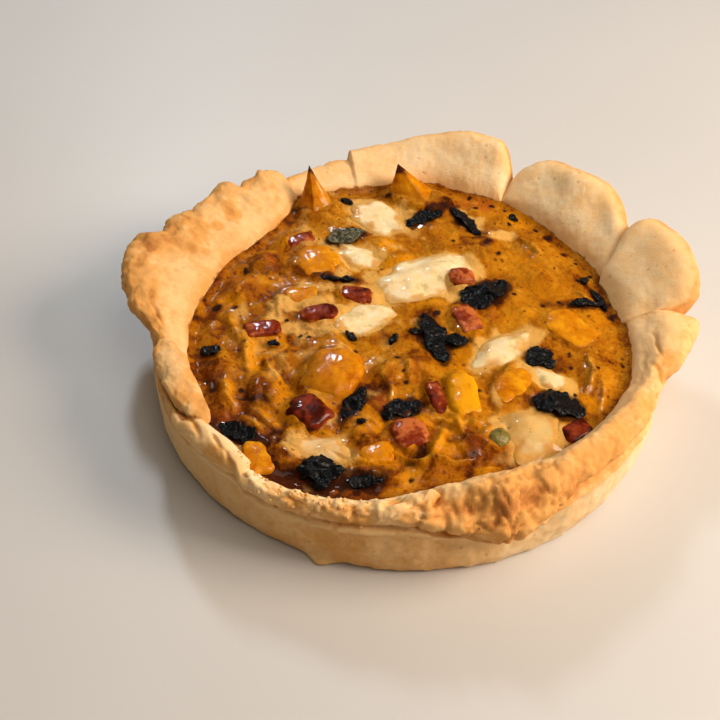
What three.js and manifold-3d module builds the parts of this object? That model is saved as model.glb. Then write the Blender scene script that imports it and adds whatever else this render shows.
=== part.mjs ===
// A small open quiche, about 102 mm across its foot: a shortcrust case whose uneven rim stands up in lobes,
// folds and rolls, a set egg filling, and the cheese, squash, ham and charred leaves baked into its top.
// Millimetres, +Z up. The origin is the middle of the flat underside. Angles are degrees, anticlockwise from +X.
import * as THREE from "three";
import { mergeVertices } from "three/addons/utils/BufferGeometryUtils.js";
import Module from "manifold-3d";

const wasm = await Module();
wasm.setup();

// ---- driving dimensions ----
const FOOT_R = 50.2; // flat underside
const WALL_FOOT_R = 51.5; // outside of the wall, just above the foot
const WALL_TOP_R = 52.2; // outside of the wall, where the rim begins
const WALL_TOP_Z = 13;
const FLOOR = 4.2; // thickness of the base
const FLOOR_R = 44.5; // inside radius at the floor
const FILL = 15.5; // height at which the filling meets the wall
const DOME = 0.6; // how much higher the filling stands in its middle
const GAP = 0.35; // clearance kept between two pieces that touch
// The wall isn't quite round: [towards, half width in degrees, how far out]
const OFF_ROUND = [[322, 75, 0.7], [190, 30, -1.5]];

// ---- the rim, as stretches of dough that follow each other round the case ----
// from: where the stretch starts; it ends where the next one starts. soft: degrees over which it takes over.
// Each list holds evenly spaced values from the stretch's start to its end:
// inner: radius where the filling meets it; reach: how far its tip stands outside that; height: of its crest above
// the filling line; droop: how far the tip hangs below the crest.
// crest: where the crest lies on the reach, from 0 to 1; thick: of the dough; rough: depth of its crags.
// round: degrees over which its start and its end are rounded down to a cut; cut: the rim at the cut it starts from.
const RIM = [
  {
    // the petal at the right
    from: 4, soft: 0.8, inner: [43.8, 43, 42.6, 42.4], reach: [15, 17.4, 16.6, 12.6],
    height: [6.5, 10.2, 10, 8.8], droop: [0, 0, 0], crest: 0.86, thick: 4.2, rough: 0.3, round: [2.5, 4],
    cut: { height: 4.2, reach: 8.5 },
  },
  {
    // the petal behind it
    from: 20.3, soft: 0.8, inner: [43.8, 42.6, 42.6, 43.7], reach: [8.8, 14.2, 12.8, 13.2, 8.6],
    height: [7.6, 9.6, 8.6, 6.4], droop: [0, 0, 0], crest: 0.86, thick: 4.2, rough: 0.25, round: [5, 9],
    cut: { height: 4.4, reach: 9.6 },
  },
  {
    // the high petal at the back, which slopes down to the left
    from: 64.2, soft: 0.8, inner: [43.4, 42.6, 43.7, 42.4, 41], reach: [10.6, 12.4, 10.7, 10.6, 11],
    height: [9.2, 9.2, 7.4, 5, 4.4], droop: [0, 0, 0], crest: 0.84, thick: 4.2, rough: 0.25, round: [4.5, 0],
    cut: { height: 0.8, reach: 6.5 },
  },
  {
    // the low wall at the back left
    from: 109, soft: 1.4, inner: [41.2, 42.6, 43], reach: [9.4, 7.4, 6],
    height: [2.7, 2.4, 2.4], droop: [0, 0, 0], crest: 0.7, thick: 4.2, rough: 0.3, round: [0, 0],
  },
  {
    // the knob where the broad flap starts
    from: 128, soft: 1.4, inner: [42, 39.4, 37.6], reach: [8.5, 11.4, 12.6],
    height: [4.6, 6, 5.2], droop: [0, 0.4, 0], crest: 0.8, thick: 4.6, rough: 0.6, round: [3, 0],
  },
  {
    // the broad flap at the left
    from: 141, soft: 2, inner: [37.6, 37.4, 39.2, 39.8, 42.2, 43.8],
    reach: [13, 15.6, 14.8, 18.2, 12.6, 5.8], height: [5.2, 5.4, 5.6, 5.8, 5.2, 3.6],
    droop: [0.4, 0.5, 0], crest: 0.78, thick: 4.4, rough: 0.6, round: [0, 0],
  },
  {
    // the split that the strap has folded over
    from: 199, soft: 3, inner: [44.2, 44.6, 46.6, 48], reach: [5.8, 6.4, 5.4, 4.8],
    height: [1.6, 1, 0.2, 1.6], droop: [0, 0, 0], crest: 0.7, thick: 3, rough: 0.3, round: [0, 0],
  },
  {
    // the pleat at the front left
    from: 222, soft: 2.5, inner: [47.8, 47.2, 48.2], reach: [5, 6, 4.6],
    height: [2.6, 3.8, 3.2], droop: [0.3, 0.6, 0.3], crest: 0.45, thick: 4, rough: 0.5, round: [0, 0],
  },
  {
    // the thin cut edge at the front left
    from: 239, soft: 1.6, inner: [49.4, 49.4, 48.6, 47, 44.8], reach: [3.2, 3.2, 3.6, 5, 7],
    height: [1, 1, 1.4, 2.4, 3.4], droop: [0.2, 0.3, 0.4], crest: 0.45, thick: 4, rough: 0.35, round: [0, 0],
  },
  {
    // the crumbly roll that hangs over the wall at the front
    from: 277, soft: 3.5, inner: [44.4, 42.8, 44.2], reach: [8.4, 12.8, 8.4],
    height: [3.8, 5, 4.2], droop: [1.2, 3.4, 1.8], crest: 0.38, thick: 4.6, rough: 1.1, round: [0, 0],
  },
  {
    // the smooth roll at the front right
    from: 309, soft: 3, inner: [44.4, 45.2, 46], reach: [7.6, 7.2, 6.6],
    height: [4.2, 4.2, 2.8], droop: [1.6, 1.4, 0.8], crest: 0.38, thick: 4.4, rough: 0.6, round: [0, 0],
  },
  {
    // the pointed ear at the right
    from: 340, soft: 4, inner: [46.4, 45.8, 44.4], reach: [6.2, 10, 15.4],
    height: [2.6, 5, 4.8], droop: [0.8, 0.8, 0.4], crest: 0.6, thick: 4.2, rough: 0.5, round: [0, 2.5],
  },
];
// Bumps and notches of the rim's edge: [degrees, what they add to its reach].
const EDGE = [
  [0, 0], [50, 0], [137, 0], [139, 0.5], [141.5, -0.6], [144.5, 2.4], [150, 0.4], [155, -0.9], [161.5, 0.8],
  [166, -1], [168.8, 2.6], [171, 2], [176, 0], [230, 0], [338, 0], [345.5, -1.2], [350, 0],
];
// How far the petals at the back lean sideways at full height: [degrees at their foot, degrees].
const LEAN = [[0, 0], [4, 0], [20.3, 12], [64.2, 2.5], [84, 0]];
const LEAN_HEIGHT = 9.5;

// A strap of dough that has folded over the split on the left, along an arc inside the rim.
const STRAP = { from: 198, to: 224.5, radius: [48.6, 48.2], top: [20.4, 18.6], width: 6, thick: 3.6 };

// A lip of dough pressed out under the ring at the front.
const LIP = { at: 257, half: 5, reach: 1.6, height: 1.4 };

// ---- pieces baked into the top ----
// at: [x, y]; size: [length, width]; turn: of the length, from +X; rise: above the filling; sink: below it.
// square: 2 is an oval outline, larger is squarer; top: 1 is pointed, 2 round, larger flatter; lean: [x, y] shift
// of the summit; wobble: share by which the outline wanders.
const CHEESES = [
  { name: "cheese_back", at: [-8, 29.5], size: [15, 9.5], turn: -27, rise: 1.1, sink: 2.4 },
  { name: "cheese_middle", at: [4, 11.5], size: [23, 11.5], turn: 30, rise: 1.5, sink: 2.6 },
  { name: "cheese_centre_left", at: [-8.5, -2.2], size: [13, 7.6], turn: 38, rise: 1, sink: 2.2 },
  { name: "cheese_right", at: [19.8, -7.4], size: [15.5, 6.4], turn: 42, rise: 1, sink: 2.2 },
  { name: "cheese_right_low", at: [28.2, -14.4], size: [9.4, 5], turn: -24, rise: 0.9, sink: 2 },
  { name: "cheese_front_right", at: [25.2, -29.2], size: [13, 11], turn: 20, rise: 1.6, sink: 2.8 },
  { name: "cheese_slab_front", at: [-13.2, -37], size: [11.6, 5.2], turn: -6, rise: 1.2, sink: 2.4 },
  { name: "cheese_left", at: [-11.6, 16.6], size: [10.4, 6.4], turn: -20, rise: 0.9, sink: 2 },
];
const SQUASHES = [
  {
    name: "squash_peak_left", at: [-21.6, 31.4], size: [8.4, 8], turn: 40, rise: 9.4, sink: 3.2,
    top: 0.9, lean: [-2.4, 3],
  },
  {
    name: "squash_peak_back", at: [0.2, 37.4], size: [14, 7.4], turn: -20, rise: 6.2, sink: 3,
    top: 0.95, lean: [-5, 4],
  },
  {
    name: "squash_yellow", at: [-13.6, -19.6], size: [12.6, 10.4], turn: 68, rise: 3, sink: 3,
    top: 3, lean: [1.2, 1],
  },
  { name: "squash_orange", at: [21.6, -17.6], size: [11.6, 6.8], turn: 64, rise: 1.8, sink: 2.6 },
  { name: "squash_bright", at: [12.2, -21.8], size: [11.6, 6.4], turn: 106, rise: 2.2, sink: 2.8 },
  { name: "squash_flat", at: [33.6, -0.4], size: [11.4, 7.4], turn: -44, rise: 0.8, sink: 2.4 },
  { name: "squash_left", at: [-19.6, 12.8], size: [9.6, 8.4], turn: 10, rise: 1.8, sink: 2.8 },
  { name: "squash_middle_left", at: [-21.2, 2.4], size: [9.6, 5.4], turn: 14, rise: 1.1, sink: 2.4 },
  { name: "squash_front_left", at: [-24.2, -40], size: [8.6, 5.4], turn: 110, rise: 1.6, sink: 2.6 },
  { name: "squash_front", at: [-3, -37.2], size: [6.8, 5.6], turn: 20, rise: 1.3, sink: 2.4 },
];
const HAMS = [
  { name: "ham_on_cheese", at: [10.8, 11.2], size: [5.8, 4.8], turn: 18, rise: 2.4, sink: 1.2 },
  { name: "ham_centre", at: [12.2, -0.6], size: [8.2, 5], turn: -66, rise: 1.6, sink: 2 },
  { name: "ham_centre_left", at: [-10.6, 4], size: [7, 4.2], turn: -8, rise: 1.3, sink: 2 },
  { name: "ham_left_long", at: [-17.4, -2.8], size: [7.8, 4], turn: 18, rise: 1.6, sink: 2 },
  { name: "ham_left", at: [-28, -8.8], size: [7.4, 4.4], turn: 18, rise: 1.4, sink: 2 },
  { name: "ham_front_left", at: [-16.2, -29.4], size: [8.2, 6.8], turn: -38, rise: 2.6, sink: 2.4 },
  { name: "ham_front", at: [2.6, -32.2], size: [7, 6.4], turn: 20, rise: 1.8, sink: 2.4 },
  { name: "ham_strip", at: [7.2, -22.4], size: [8.6, 3.2], turn: -70, rise: 1.6, sink: 2 },
  { name: "ham_right", at: [33.6, -27], size: [6.4, 4.6], turn: 36, rise: 1.2, sink: 2 },
  { name: "ham_back_left", at: [-24, 19.6], size: [6.4, 3.8], turn: 28, rise: 1.1, sink: 2 },
];
const CAPERS = [{ name: "caper", at: [19, -31.2], size: [5, 4.6], turn: 80, rise: 2, sink: 2 }];

// Charred and wilted leaves: thin wavy blades. ruffle: height of their waves; lift: of the blade over the filling;
// branch: a second blade that grows from the first, from its middle.
const LEAVES = [
  { name: "leaf_big_centre", at: [15.8, 7.6], size: [12.4, 7], turn: 44, ruffle: 1.1, lift: 1.3 },
  {
    name: "leaf_forked", at: [6, -6.2], size: [14, 4.2], turn: -68, ruffle: 0.8, lift: 1.5,
    branch: { at: [9.2, -7], size: [7.4, 3], turn: 2 },
  },
  { name: "leaf_back", at: [2.4, 30.6], size: [11, 3.6], turn: 42, ruffle: 0.6, lift: 1 },
  { name: "leaf_back_curled", at: [11.4, 30], size: [10.6, 3], turn: -50, ruffle: 0.7, lift: 0.9 },
  { name: "leaf_right", at: [30.6, -21.6], size: [10.4, 6.4], turn: -12, ruffle: 1, lift: 1.5 },
  { name: "leaf_right_small", at: [27.2, -9.8], size: [6.4, 4.8], turn: -42, ruffle: 0.8, lift: 1.1 },
  {
    name: "leaf_right_thread", at: [37.2, 7.4], size: [7.6, 1.9], turn: 12, ruffle: 0.5, lift: 0.7,
    branch: { at: [40, 9.6], size: [6.4, 1.9], turn: -64 },
  },
  { name: "leaf_front", at: [-12.8, -42.2], size: [7.6, 6], turn: -80, ruffle: 1, lift: 1.2 },
  { name: "leaf_front_middle", at: [0.6, -25.8], size: [8.4, 5], turn: 34, ruffle: 1, lift: 1.2 },
  { name: "leaf_front_upper", at: [-8.2, -25.4], size: [9, 3.4], turn: 68, ruffle: 0.7, lift: 1.1 },
  { name: "leaf_front_left", at: [-28.8, -34.6], size: [8.4, 3.4], turn: -26, ruffle: 0.6, lift: 0.8 },
  { name: "leaf_front_rim", at: [-4.4, -43.2], size: [7, 2.8], turn: 18, ruffle: 0.5, lift: 0.8 },
  { name: "leaf_twig", at: [-15.2, 8.2], size: [8, 1.6], turn: -4, ruffle: 0.4, lift: 0.8 },
  { name: "leaf_green", at: [-14.4, 22], size: [9, 4.4], turn: 30, ruffle: 0.7, lift: 0.8 },
];
const LEAF_THICK = 0.9;
const LEAF_CLEAR = 1; // from the filling up to the middle of a leaf that lies on it
const ROOM_ABOVE = 2; // how far the room cut for a piece stays open above it

// Lumps of squash and onion that the filling's skin covers: [x, y, radius, height].
const LUMPS = [
  [-26, -24.4, 7, 2.4], [-33, -27, 4.4, 1.5], [-36, -19, 4.5, 1.3], [-33, 3, 6, 1.2], [-30, 12, 5, 1.1],
  [-3, -17, 5.5, 1.5], [3, -14, 4.5, 1.2], [14, -33.5, 5.5, 1.3], [8, -37.5, 5, 1.2], [-19, -38.5, 4.5, 1.2],
  [-6, -33, 4.5, 1.1], [-24, -15, 5, 1.1], [6, 2.6, 5, 1.4], [-3, 17, 5.5, 1.2], [24, -27, 4, 0.7],
  [38, -12, 6, 0.7], [27, 14, 8, 0.7], [16, 22, 7, 0.8], [-26, -1.5, 4.5, 0.9], [-14, -11, 5, 1],
];

// Small flakes of charred leaf, stuck to the filling: [x, y, length, width, turn].
const FLAKES = [
  [-37.4, -15, 4.6, 3.6, 20], [-10.5, -8.2, 3.2, 2.2, -30], [2, -5.4, 2.6, 2, 10], [-2.1, -8.4, 3, 2, 60],
  [-6.3, -30.6, 2.8, 2, 40], [-25.3, -12.6, 3, 2.2, -20], [-15.4, 33.6, 3.6, 2.4, -26], [-14.6, -42.6, 4, 2, 25],
  [22, 33.6, 2.8, 2, -30], [37, 14.6, 2.8, 2, 60],
];

const COLOURS = {
  crust: 0xdda966, filling: 0xb5701c, cheese: 0xf2dcae, squash: 0xe2930f,
  ham: 0x9c3a22, leaf: 0x1a1a17, caper: 0x4a4a22,
};

// ---- small tools ----
const RAD = Math.PI / 180;
const clamp01 = (v) => Math.min(1, Math.max(0, v));
const ease = (v) => clamp01(v) ** 2 * (3 - 2 * clamp01(v));
const lerp = (a, b, t) => a + (b - a) * t;
const wrap = (deg) => ((((deg + 180) % 360) + 360) % 360) - 180;
// |v| to the power p, with v's sign: the rule of a superellipse.
const signedPower = (v, p) => Math.sign(v) * Math.abs(v) ** p;

// The smooth curve through evenly spaced values, at t from 0 to 1 along them.
function through(values, t) {
  const last = values.length - 1;
  const k = Math.min(last - 1, Math.floor(t * last));
  const [a, b, c, d] = [-1, 0, 1, 2].map((step) => values[Math.min(last, Math.max(0, k + step))]);
  const u = t * last - k;
  return b + 0.5 * u * (c - a + u * (2 * a - 5 * b + 4 * c - d + u * (3 * (b - c) + d - a)));
}

// Smooth values round the case from [degrees, value] pairs, eased from each pair to the next.
function roundTable(table, deg) {
  const [start, value] = table[0];
  const turn = ((((deg - start) % 360) + 360) % 360) + start;
  const k = table.findLastIndex(([at]) => at <= turn);
  const [from, a] = table[k];
  const [to, b] = table[k + 1] ?? [start + 360, value];
  return lerp(a, b, ease((turn - from) / (to - from)));
}

// A repeatable random number from 0 to 1 for a lattice point.
function hash(i, j, k) {
  const s = Math.sin(i * 127.1 + j * 311.7 + k * 74.7) * 43758.5453;
  return s - Math.floor(s);
}

// Smooth value noise from -1 to 1: random values at lattice points, eased between them.
function noise(x, y, z) {
  const [i, j, k] = [x, y, z].map(Math.floor);
  const [u, v, w] = [ease(x - i), ease(y - j), ease(z - k)];
  const edge = (dj, dk) => lerp(hash(i, j + dj, k + dk), hash(i + 1, j + dj, k + dk), u);
  const side = (dk) => lerp(edge(0, dk), edge(1, dk), v);
  return 2 * lerp(side(0), side(1), w) - 1;
}

// ---- solids ----
// A manifold-3d solid from points [x, y, z] and triangles [a, b, c].
function solidFrom(points, triangles) {
  const raw = new THREE.BufferGeometry();
  raw.setAttribute("position", new THREE.Float32BufferAttribute(points.flat(), 3));
  raw.setIndex(triangles.flat());
  const merged = mergeVertices(raw, 1e-4);
  return new wasm.Manifold(
    new wasm.Mesh({
      numProp: 3,
      vertProperties: new Float32Array(merged.attributes.position.array),
      triVerts: new Uint32Array(merged.index.array),
    }),
  );
}

// A closed skin over rings of points: each ring joins the next, and the first and last close on their own middles.
// Every ring runs anticlockwise about the way the rings travel, as seen from their far end.
function solidOfRings(rings) {
  const n = rings[0].length;
  const middle = (ring) => ring.reduce((sum, p) => sum.map((v, i) => v + p[i] / n), [0, 0, 0]);
  const points = [...rings.flat(), middle(rings[0]), middle(rings.at(-1))];
  const [first, last] = [points.length - 2, points.length - 1];
  const lastRing = (rings.length - 1) * n;
  const triangles = [];
  for (let s = 0; s < n; s++) {
    const t = (s + 1) % n;
    triangles.push([first, t, s], [last, lastRing + s, lastRing + t]);
    for (let r = 0; r < rings.length - 1; r++) {
      const [a, b] = [r * n, (r + 1) * n];
      triangles.push([a + s, a + t, b + t], [a + s, b + t, b + s]);
    }
  }
  return solidFrom(points, triangles);
}

// A thin solid between two grids of points, an upper and a lower one, both split into triangles alike.
function solidOfGrids(upper, lower) {
  const [rows, columns] = [upper.length, upper[0].length];
  const index = (i, j, side) => (side * rows + i) * columns + j;
  const triangles = [];
  const quad = (a, b, c, d) => triangles.push([a, b, c], [a, c, d]);
  for (let i = 0; i < rows - 1; i++) {
    for (let j = 0; j < columns - 1; j++) {
      const around = [[i, j], [i + 1, j], [i + 1, j + 1], [i, j + 1]];
      const [a, b, c, d] = around.map(([row, column]) => index(row, column, 1));
      quad(...around.map(([row, column]) => index(row, column, 0)));
      triangles.push([a, c, b], [a, d, c]);
    }
    quad(index(i, 0, 0), index(i, 0, 1), index(i + 1, 0, 1), index(i + 1, 0, 0));
    const far = columns - 1;
    quad(index(i + 1, far, 0), index(i + 1, far, 1), index(i, far, 1), index(i, far, 0));
  }
  for (let j = 0; j < columns - 1; j++) {
    quad(index(0, j + 1, 0), index(0, j + 1, 1), index(0, j, 1), index(0, j, 0));
    quad(index(rows - 1, j, 0), index(rows - 1, j, 1), index(rows - 1, j + 1, 1), index(rows - 1, j + 1, 0));
  }
  return solidFrom([...upper.flat(), ...lower.flat()], triangles);
}

// The largest of the bodies that a cut has left.
function largest(solid) {
  return solid.decompose().reduce((a, b) => (b.volume() > a.volume() ? b : a));
}

// ---- the case ----
// The rim's measures at one angle: each stretch's values, weighted by how far it has taken over from its neighbours.
function rimAt(deg) {
  const sum = { inner: 0, reach: 0, height: 0, droop: 0, crest: 0, thick: 0, rough: 0 };
  let total = 0;
  RIM.forEach((stretch, i) => {
    const next = RIM[(i + 1) % RIM.length];
    const length = (next.from - stretch.from + 360) % 360;
    const past = wrap(deg - stretch.from - length / 2) + length / 2;
    const left = length - past;
    const weight = ease(past / stretch.soft + 0.5) * ease(left / next.soft + 0.5);
    if (!weight) return;
    const t = clamp01(past / length);
    const rounded = (value, key) => {
      // A quarter circle lifts the rim out of the cut at a rounded end.
      const lift = (distance, r) => Math.sqrt(1 - (1 - clamp01(distance / r)) ** 2);
      const [starts, ends] = stretch.round;
      if (starts) value = lerp(stretch.cut?.[key] ?? value * 0.5, value, lift(past, starts));
      if (ends) value = lerp(next.cut?.[key] ?? value * 0.5, value, lift(left, ends));
      return value;
    };
    sum.inner += weight * through(stretch.inner, t);
    sum.reach += weight * rounded(through(stretch.reach, t) + roundTable(EDGE, deg), "reach");
    sum.height += weight * rounded(through(stretch.height, t), "height");
    sum.droop += weight * through(stretch.droop, t);
    for (const key of ["crest", "thick", "rough"]) sum[key] += weight * stretch[key];
    total += weight;
  });
  return Object.fromEntries(Object.entries(sum).map(([key, value]) => [key, value / total]));
}

// How far the wall stands outside its round at one angle.
function offRound(deg) {
  const share = (towards, half) => 1 - ease(Math.abs(wrap(deg - towards)) / half);
  return OFF_ROUND.reduce((sum, [towards, half, by]) => sum + by * share(towards, half), 0);
}

// The case's section at one angle, as [radius, height] from the middle of its floor, over the rim, to its foot.
function sectionAt(deg) {
  const rim = rimAt(deg);
  const crestR = rim.inner + rim.crest * rim.reach;
  const crestZ = FILL + rim.height;
  const tipR = rim.inner + rim.reach;
  const tipZ = crestZ - rim.droop;
  const underZ = tipZ - rim.thick * 0.95;
  const joinZ = Math.min(WALL_TOP_Z, underZ - 1.6);
  const off = offRound(deg);
  const wallTopR = WALL_TOP_R + off;
  const out = Math.max(0, tipR - wallTopR);
  const lip = LIP.reach * (1 - ease(Math.abs(wrap(deg - LIP.at)) / LIP.half));
  return [
    [FLOOR_R * 0.9, FLOOR],
    [FLOOR_R, FLOOR + 2.4],
    [lerp(FLOOR_R, rim.inner, 0.6), lerp(FLOOR, FILL, 0.6)],
    [rim.inner, FILL - 1],
    [rim.inner + 0.12 * rim.crest * rim.reach, FILL + 0.22 * rim.height],
    [rim.inner + 0.5 * rim.crest * rim.reach, FILL + 0.64 * rim.height],
    [crestR, crestZ],
    [lerp(crestR, tipR, 0.7), lerp(crestZ, tipZ, 0.6) - 0.04 * rim.thick],
    [tipR, tipZ - 0.34 * rim.thick],
    [tipR - 0.22 * rim.thick, underZ],
    [wallTopR + 0.34 * out, lerp(underZ, joinZ, 0.55)],
    [wallTopR, joinZ],
    [WALL_FOOT_R + off + lip * 0.3, LIP.height + 0.6],
    [FOOT_R + off + 0.8 + lip, LIP.height * 0.4],
    [FOOT_R + off + lip, 0],
  ];
}
const [FIRST_ROUGH, LAST_ROUGH] = [5, 10]; // the section's points that crags move: those of the rim itself

// Moves a section's points outwards, square to its line, by the same distance.
function grown(section, distance) {
  return section.map(([r, z], i) => {
    const [a, b] = [section[Math.max(0, i - 1)], section[Math.min(section.length - 1, i + 1)]];
    const [dr, dz] = [b[0] - a[0], b[1] - a[1]];
    const length = Math.hypot(dr, dz) || 1;
    return [r - (distance * dz) / length, z + (distance * dr) / length];
  });
}

// Angles to cut sections at: an even step, and closer ones beside each sharp end of a lobe.
function rimAngles() {
  const even = Array.from({ length: 100 }, (_, i) => (i * 360) / 100);
  const cuts = RIM.filter((stretch) => stretch.soft < 1.5);
  const sharp = cuts.flatMap(({ from }) => [-1.8, -0.6, 0, 0.6, 1.8].map((d) => from + d));
  const all = [...even.filter((a) => sharp.every((b) => Math.abs(wrap(a - b)) > 1.2)), ...sharp];
  return all.map((a) => (a + 360) % 360).sort((a, b) => a - b);
}

// The case without its strap: one section for each angle, with crags in the dough above the filling.
function shell(grow) {
  const angles = rimAngles();
  const columns = angles.map((deg) => {
    const { rough } = rimAt(deg);
    return grown(sectionAt(deg), grow).map(([r, z], i) => {
      const turned = deg + roundTable(LEAN, deg) * clamp01((z - FILL) / LEAN_HEIGHT);
      const [c, s] = [Math.cos(turned * RAD), Math.sin(turned * RAD)];
      const share = i >= FIRST_ROUGH && i <= LAST_ROUGH ? rough : 0;
      const crag = share * noise((r * c) / 5, (r * s) / 5, z / 5);
      return [(r + crag) * c, (r + crag) * s, z + crag * 0.7];
    });
  });
  const rings = columns[0].map((_, i) => columns.map((column) => column[i]));
  return solidOfRings(rings.reverse());
}

// The strap: a superellipse section carried along its arc, narrowed to a rounded point at both ends.
function strap(grow) {
  const [steps, around] = [12, 8];
  const rings = [];
  for (let i = 0; i <= steps; i++) {
    const t = i / steps;
    const share = Math.sqrt(Math.max(0.05, 1 - (2 * t - 1) ** 2)) ** 0.7;
    const deg = lerp(STRAP.from, STRAP.to, t);
    const [radius, top] = [lerp(...STRAP.radius, t), lerp(...STRAP.top, t)];
    const ring = [];
    for (let k = 0; k < around; k++) {
      const turn = (k / around) * 2 * Math.PI;
      const r = radius + (STRAP.width / 2 * share + grow) * signedPower(Math.cos(turn), 0.8);
      const z = top - STRAP.thick / 2 + (STRAP.thick / 2 * share + grow) * signedPower(Math.sin(turn), 0.8);
      ring.push([r * Math.cos(deg * RAD), r * Math.sin(deg * RAD), z]);
    }
    rings.unshift(ring);
  }
  return solidOfRings(rings);
}

// ---- the filling ----
// Height of the filling's top: a low dome, the covered lumps and a fine unevenness, all level at the wall.
function fillingHeight(x, y) {
  const deg = Math.atan2(y, x) / RAD;
  const edge = Math.hypot(x, y) / rimAt(deg).inner;
  const lumps = LUMPS.reduce((sum, [lx, ly, radius, height]) => {
    const d = Math.hypot(x - lx, y - ly) / radius;
    return sum + height * (1 - ease(d));
  }, 0);
  const uneven = 0.5 * noise(x / 7, y / 7, 3.1) + 0.3 * noise(x / 3.5, y / 3.5, 8.2);
  const inside = 1 - ease((edge - 0.86) / 0.14);
  return FILL - 0.6 + (DOME + lumps + uneven + 0.6) * inside;
}

// The filling before the pieces are pressed into it: rings from its underside up its side and in over its top,
// a gap clear of the case all round.
function fillingBlock() {
  const [sectors, ringCount] = [44, 6];
  const angles = Array.from({ length: sectors }, (_, s) => (s / sectors) * 360);
  const at = (deg, r, z) => {
    const [x, y] = [r * Math.cos(deg * RAD), r * Math.sin(deg * RAD)];
    return [x, y, z ?? fillingHeight(x, y)];
  };
  const sides = angles.map((deg) => grown(sectionAt(deg), GAP).slice(0, 4));
  const rings = [0, 1, 2, 3].map((i) => angles.map((deg, s) => at(deg, ...sides[s][i])));
  for (let i = ringCount; i > 0; i--) {
    rings.push(angles.map((deg, s) => at(deg, (sides[s][3][0] * i) / ringCount)));
  }
  return solidOfRings(rings);
}

// ---- morsels and leaves ----
// A lump: rings from its underside to its summit, each a wandering superellipse drawn in by the side's curve.
// A grown lump is the room it needs: straight-sided and open above, though it leans as the lump does.
function morsel(spec, grow) {
  const { at, size, turn, rise, sink, square = 2.4, top = 2.4, lean = [0, 0], wobble = 0.08, seed = 0 } = spec;
  const around = 8;
  const [c, s] = [Math.cos(turn * RAD), Math.sin(turn * RAD)];
  const ground = fillingHeight(...at);
  // Each level is a share of the outline, a height, and a share of the summit's lean.
  const above = [0.88, 0.56, 0.16].map((share) => {
    const up = (1 - share ** top) ** (1 / top);
    return [share, rise * up, up];
  });
  const solidLevels = [[0.8, -sink, 0], [1, -sink * 0.6, 0], [1, 0, 0], ...above];
  const roomLevels = [[1, -sink - grow, 0], [1, 0, 0], [1, rise + ROOM_ABOVE, 1 + ROOM_ABOVE / rise]];
  const rings = (grow ? roomLevels : solidLevels).map(([share, height, up]) =>
    Array.from({ length: around }, (_, k) => {
      const a = ((k + 0.5) / around) * 2 * Math.PI;
      const wander = 1 + wobble * noise(2 * Math.cos(a) + seed, 2 * Math.sin(a), seed * 1.7);
      const u = ((size[0] / 2) * share * wander + grow) * signedPower(Math.cos(a), 2 / square);
      const v = ((size[1] / 2) * share * wander + grow) * signedPower(Math.sin(a), 2 / square);
      return [at[0] + c * u - s * v + lean[0] * up, at[1] + s * u + c * v + lean[1] * up, ground + height];
    }),
  );
  return solidOfRings(rings);
}

// One blade: a lens-shaped outline with ragged edges, waved along its length and curled across it, lying on the
// filling wherever it would dip into it. A grown blade is the room it needs: larger all round, and open above.
function blade({ at, size, turn, ruffle, lift }, grow) {
  const [steps, across] = [6, 2];
  const [c, s] = [Math.cos(turn * RAD), Math.sin(turn * RAD)];
  const ground = fillingHeight(...at) + lift;
  const outwards = (k, last) => (k === 0 ? -grow : k === last ? grow : 0);
  const point = (i, j, side) => {
    const [t, share] = [i / steps, j / across - 0.5];
    const width = Math.sin(Math.PI * lerp(0.09, 0.93, t)) ** 0.7 * (1 + 0.25 * noise(t * 5, at[0], at[1]));
    const u = (t - 0.5) * size[0] + outwards(i, steps);
    const v = share * size[1] * width + outwards(j, across);
    const wave = ruffle * Math.sin(t * 7 + at[0]) + 0.6 * ruffle * Math.cos(share * width * 5 + t * 3);
    const sag = lift * 1.1 * (2 * t - 1) ** 2;
    const half = LEAF_THICK / 2 + grow + (grow && side > 0 ? ROOM_ABOVE : 0);
    const [x, y] = [at[0] + c * u - s * v, at[1] + s * u + c * v];
    return [x, y, Math.max(ground + wave - sag, fillingHeight(x, y) + LEAF_CLEAR) + side * half];
  };
  const row = (i, side) => Array.from({ length: across + 1 }, (_, j) => point(i, j, side));
  const face = (side) => Array.from({ length: steps + 1 }, (_, i) => row(i, side));
  return solidOfGrids(face(1), face(-1));
}

// A flake: a low six-sided lump, half sunk in the filling.
function flake([x, y, length, width, turn]) {
  const around = 6;
  const [c, s] = [Math.cos(turn * RAD), Math.sin(turn * RAD)];
  const ground = fillingHeight(x, y);
  const rings = [[1, -0.5], [0.6, 0.5]].map(([share, height]) =>
    Array.from({ length: around }, (_, k) => {
      const a = (k / around) * 2 * Math.PI;
      const [u, v] = [(length / 2) * share * Math.cos(a), (width / 2) * share * Math.sin(a)];
      return [x + c * u - s * v, y + s * u + c * v, ground + height];
    }),
  );
  return solidOfRings(rings);
}

function leaf(spec, grow) {
  const main = blade(spec, grow);
  return spec.branch ? main.add(blade({ ...spec, ...spec.branch }, grow)) : main;
}

// ---- assembly ----
const group = new THREE.Group();
const keepOut = shell(GAP).add(strap(GAP));

// A named mesh of a finished solid.
function place(name, solid, colour, roughness) {
  const mesh = solid.getMesh();
  const geometry = new THREE.BufferGeometry();
  geometry.setAttribute("position", new THREE.BufferAttribute(new Float32Array(mesh.vertProperties), 3));
  geometry.setIndex(new THREE.BufferAttribute(new Uint32Array(mesh.triVerts), 1));
  geometry.computeVertexNormals();
  const material = new THREE.MeshStandardMaterial({ color: colour, roughness, metalness: 0 });
  const made = new THREE.Mesh(geometry, material);
  made.name = name;
  group.add(made);
}

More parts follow.
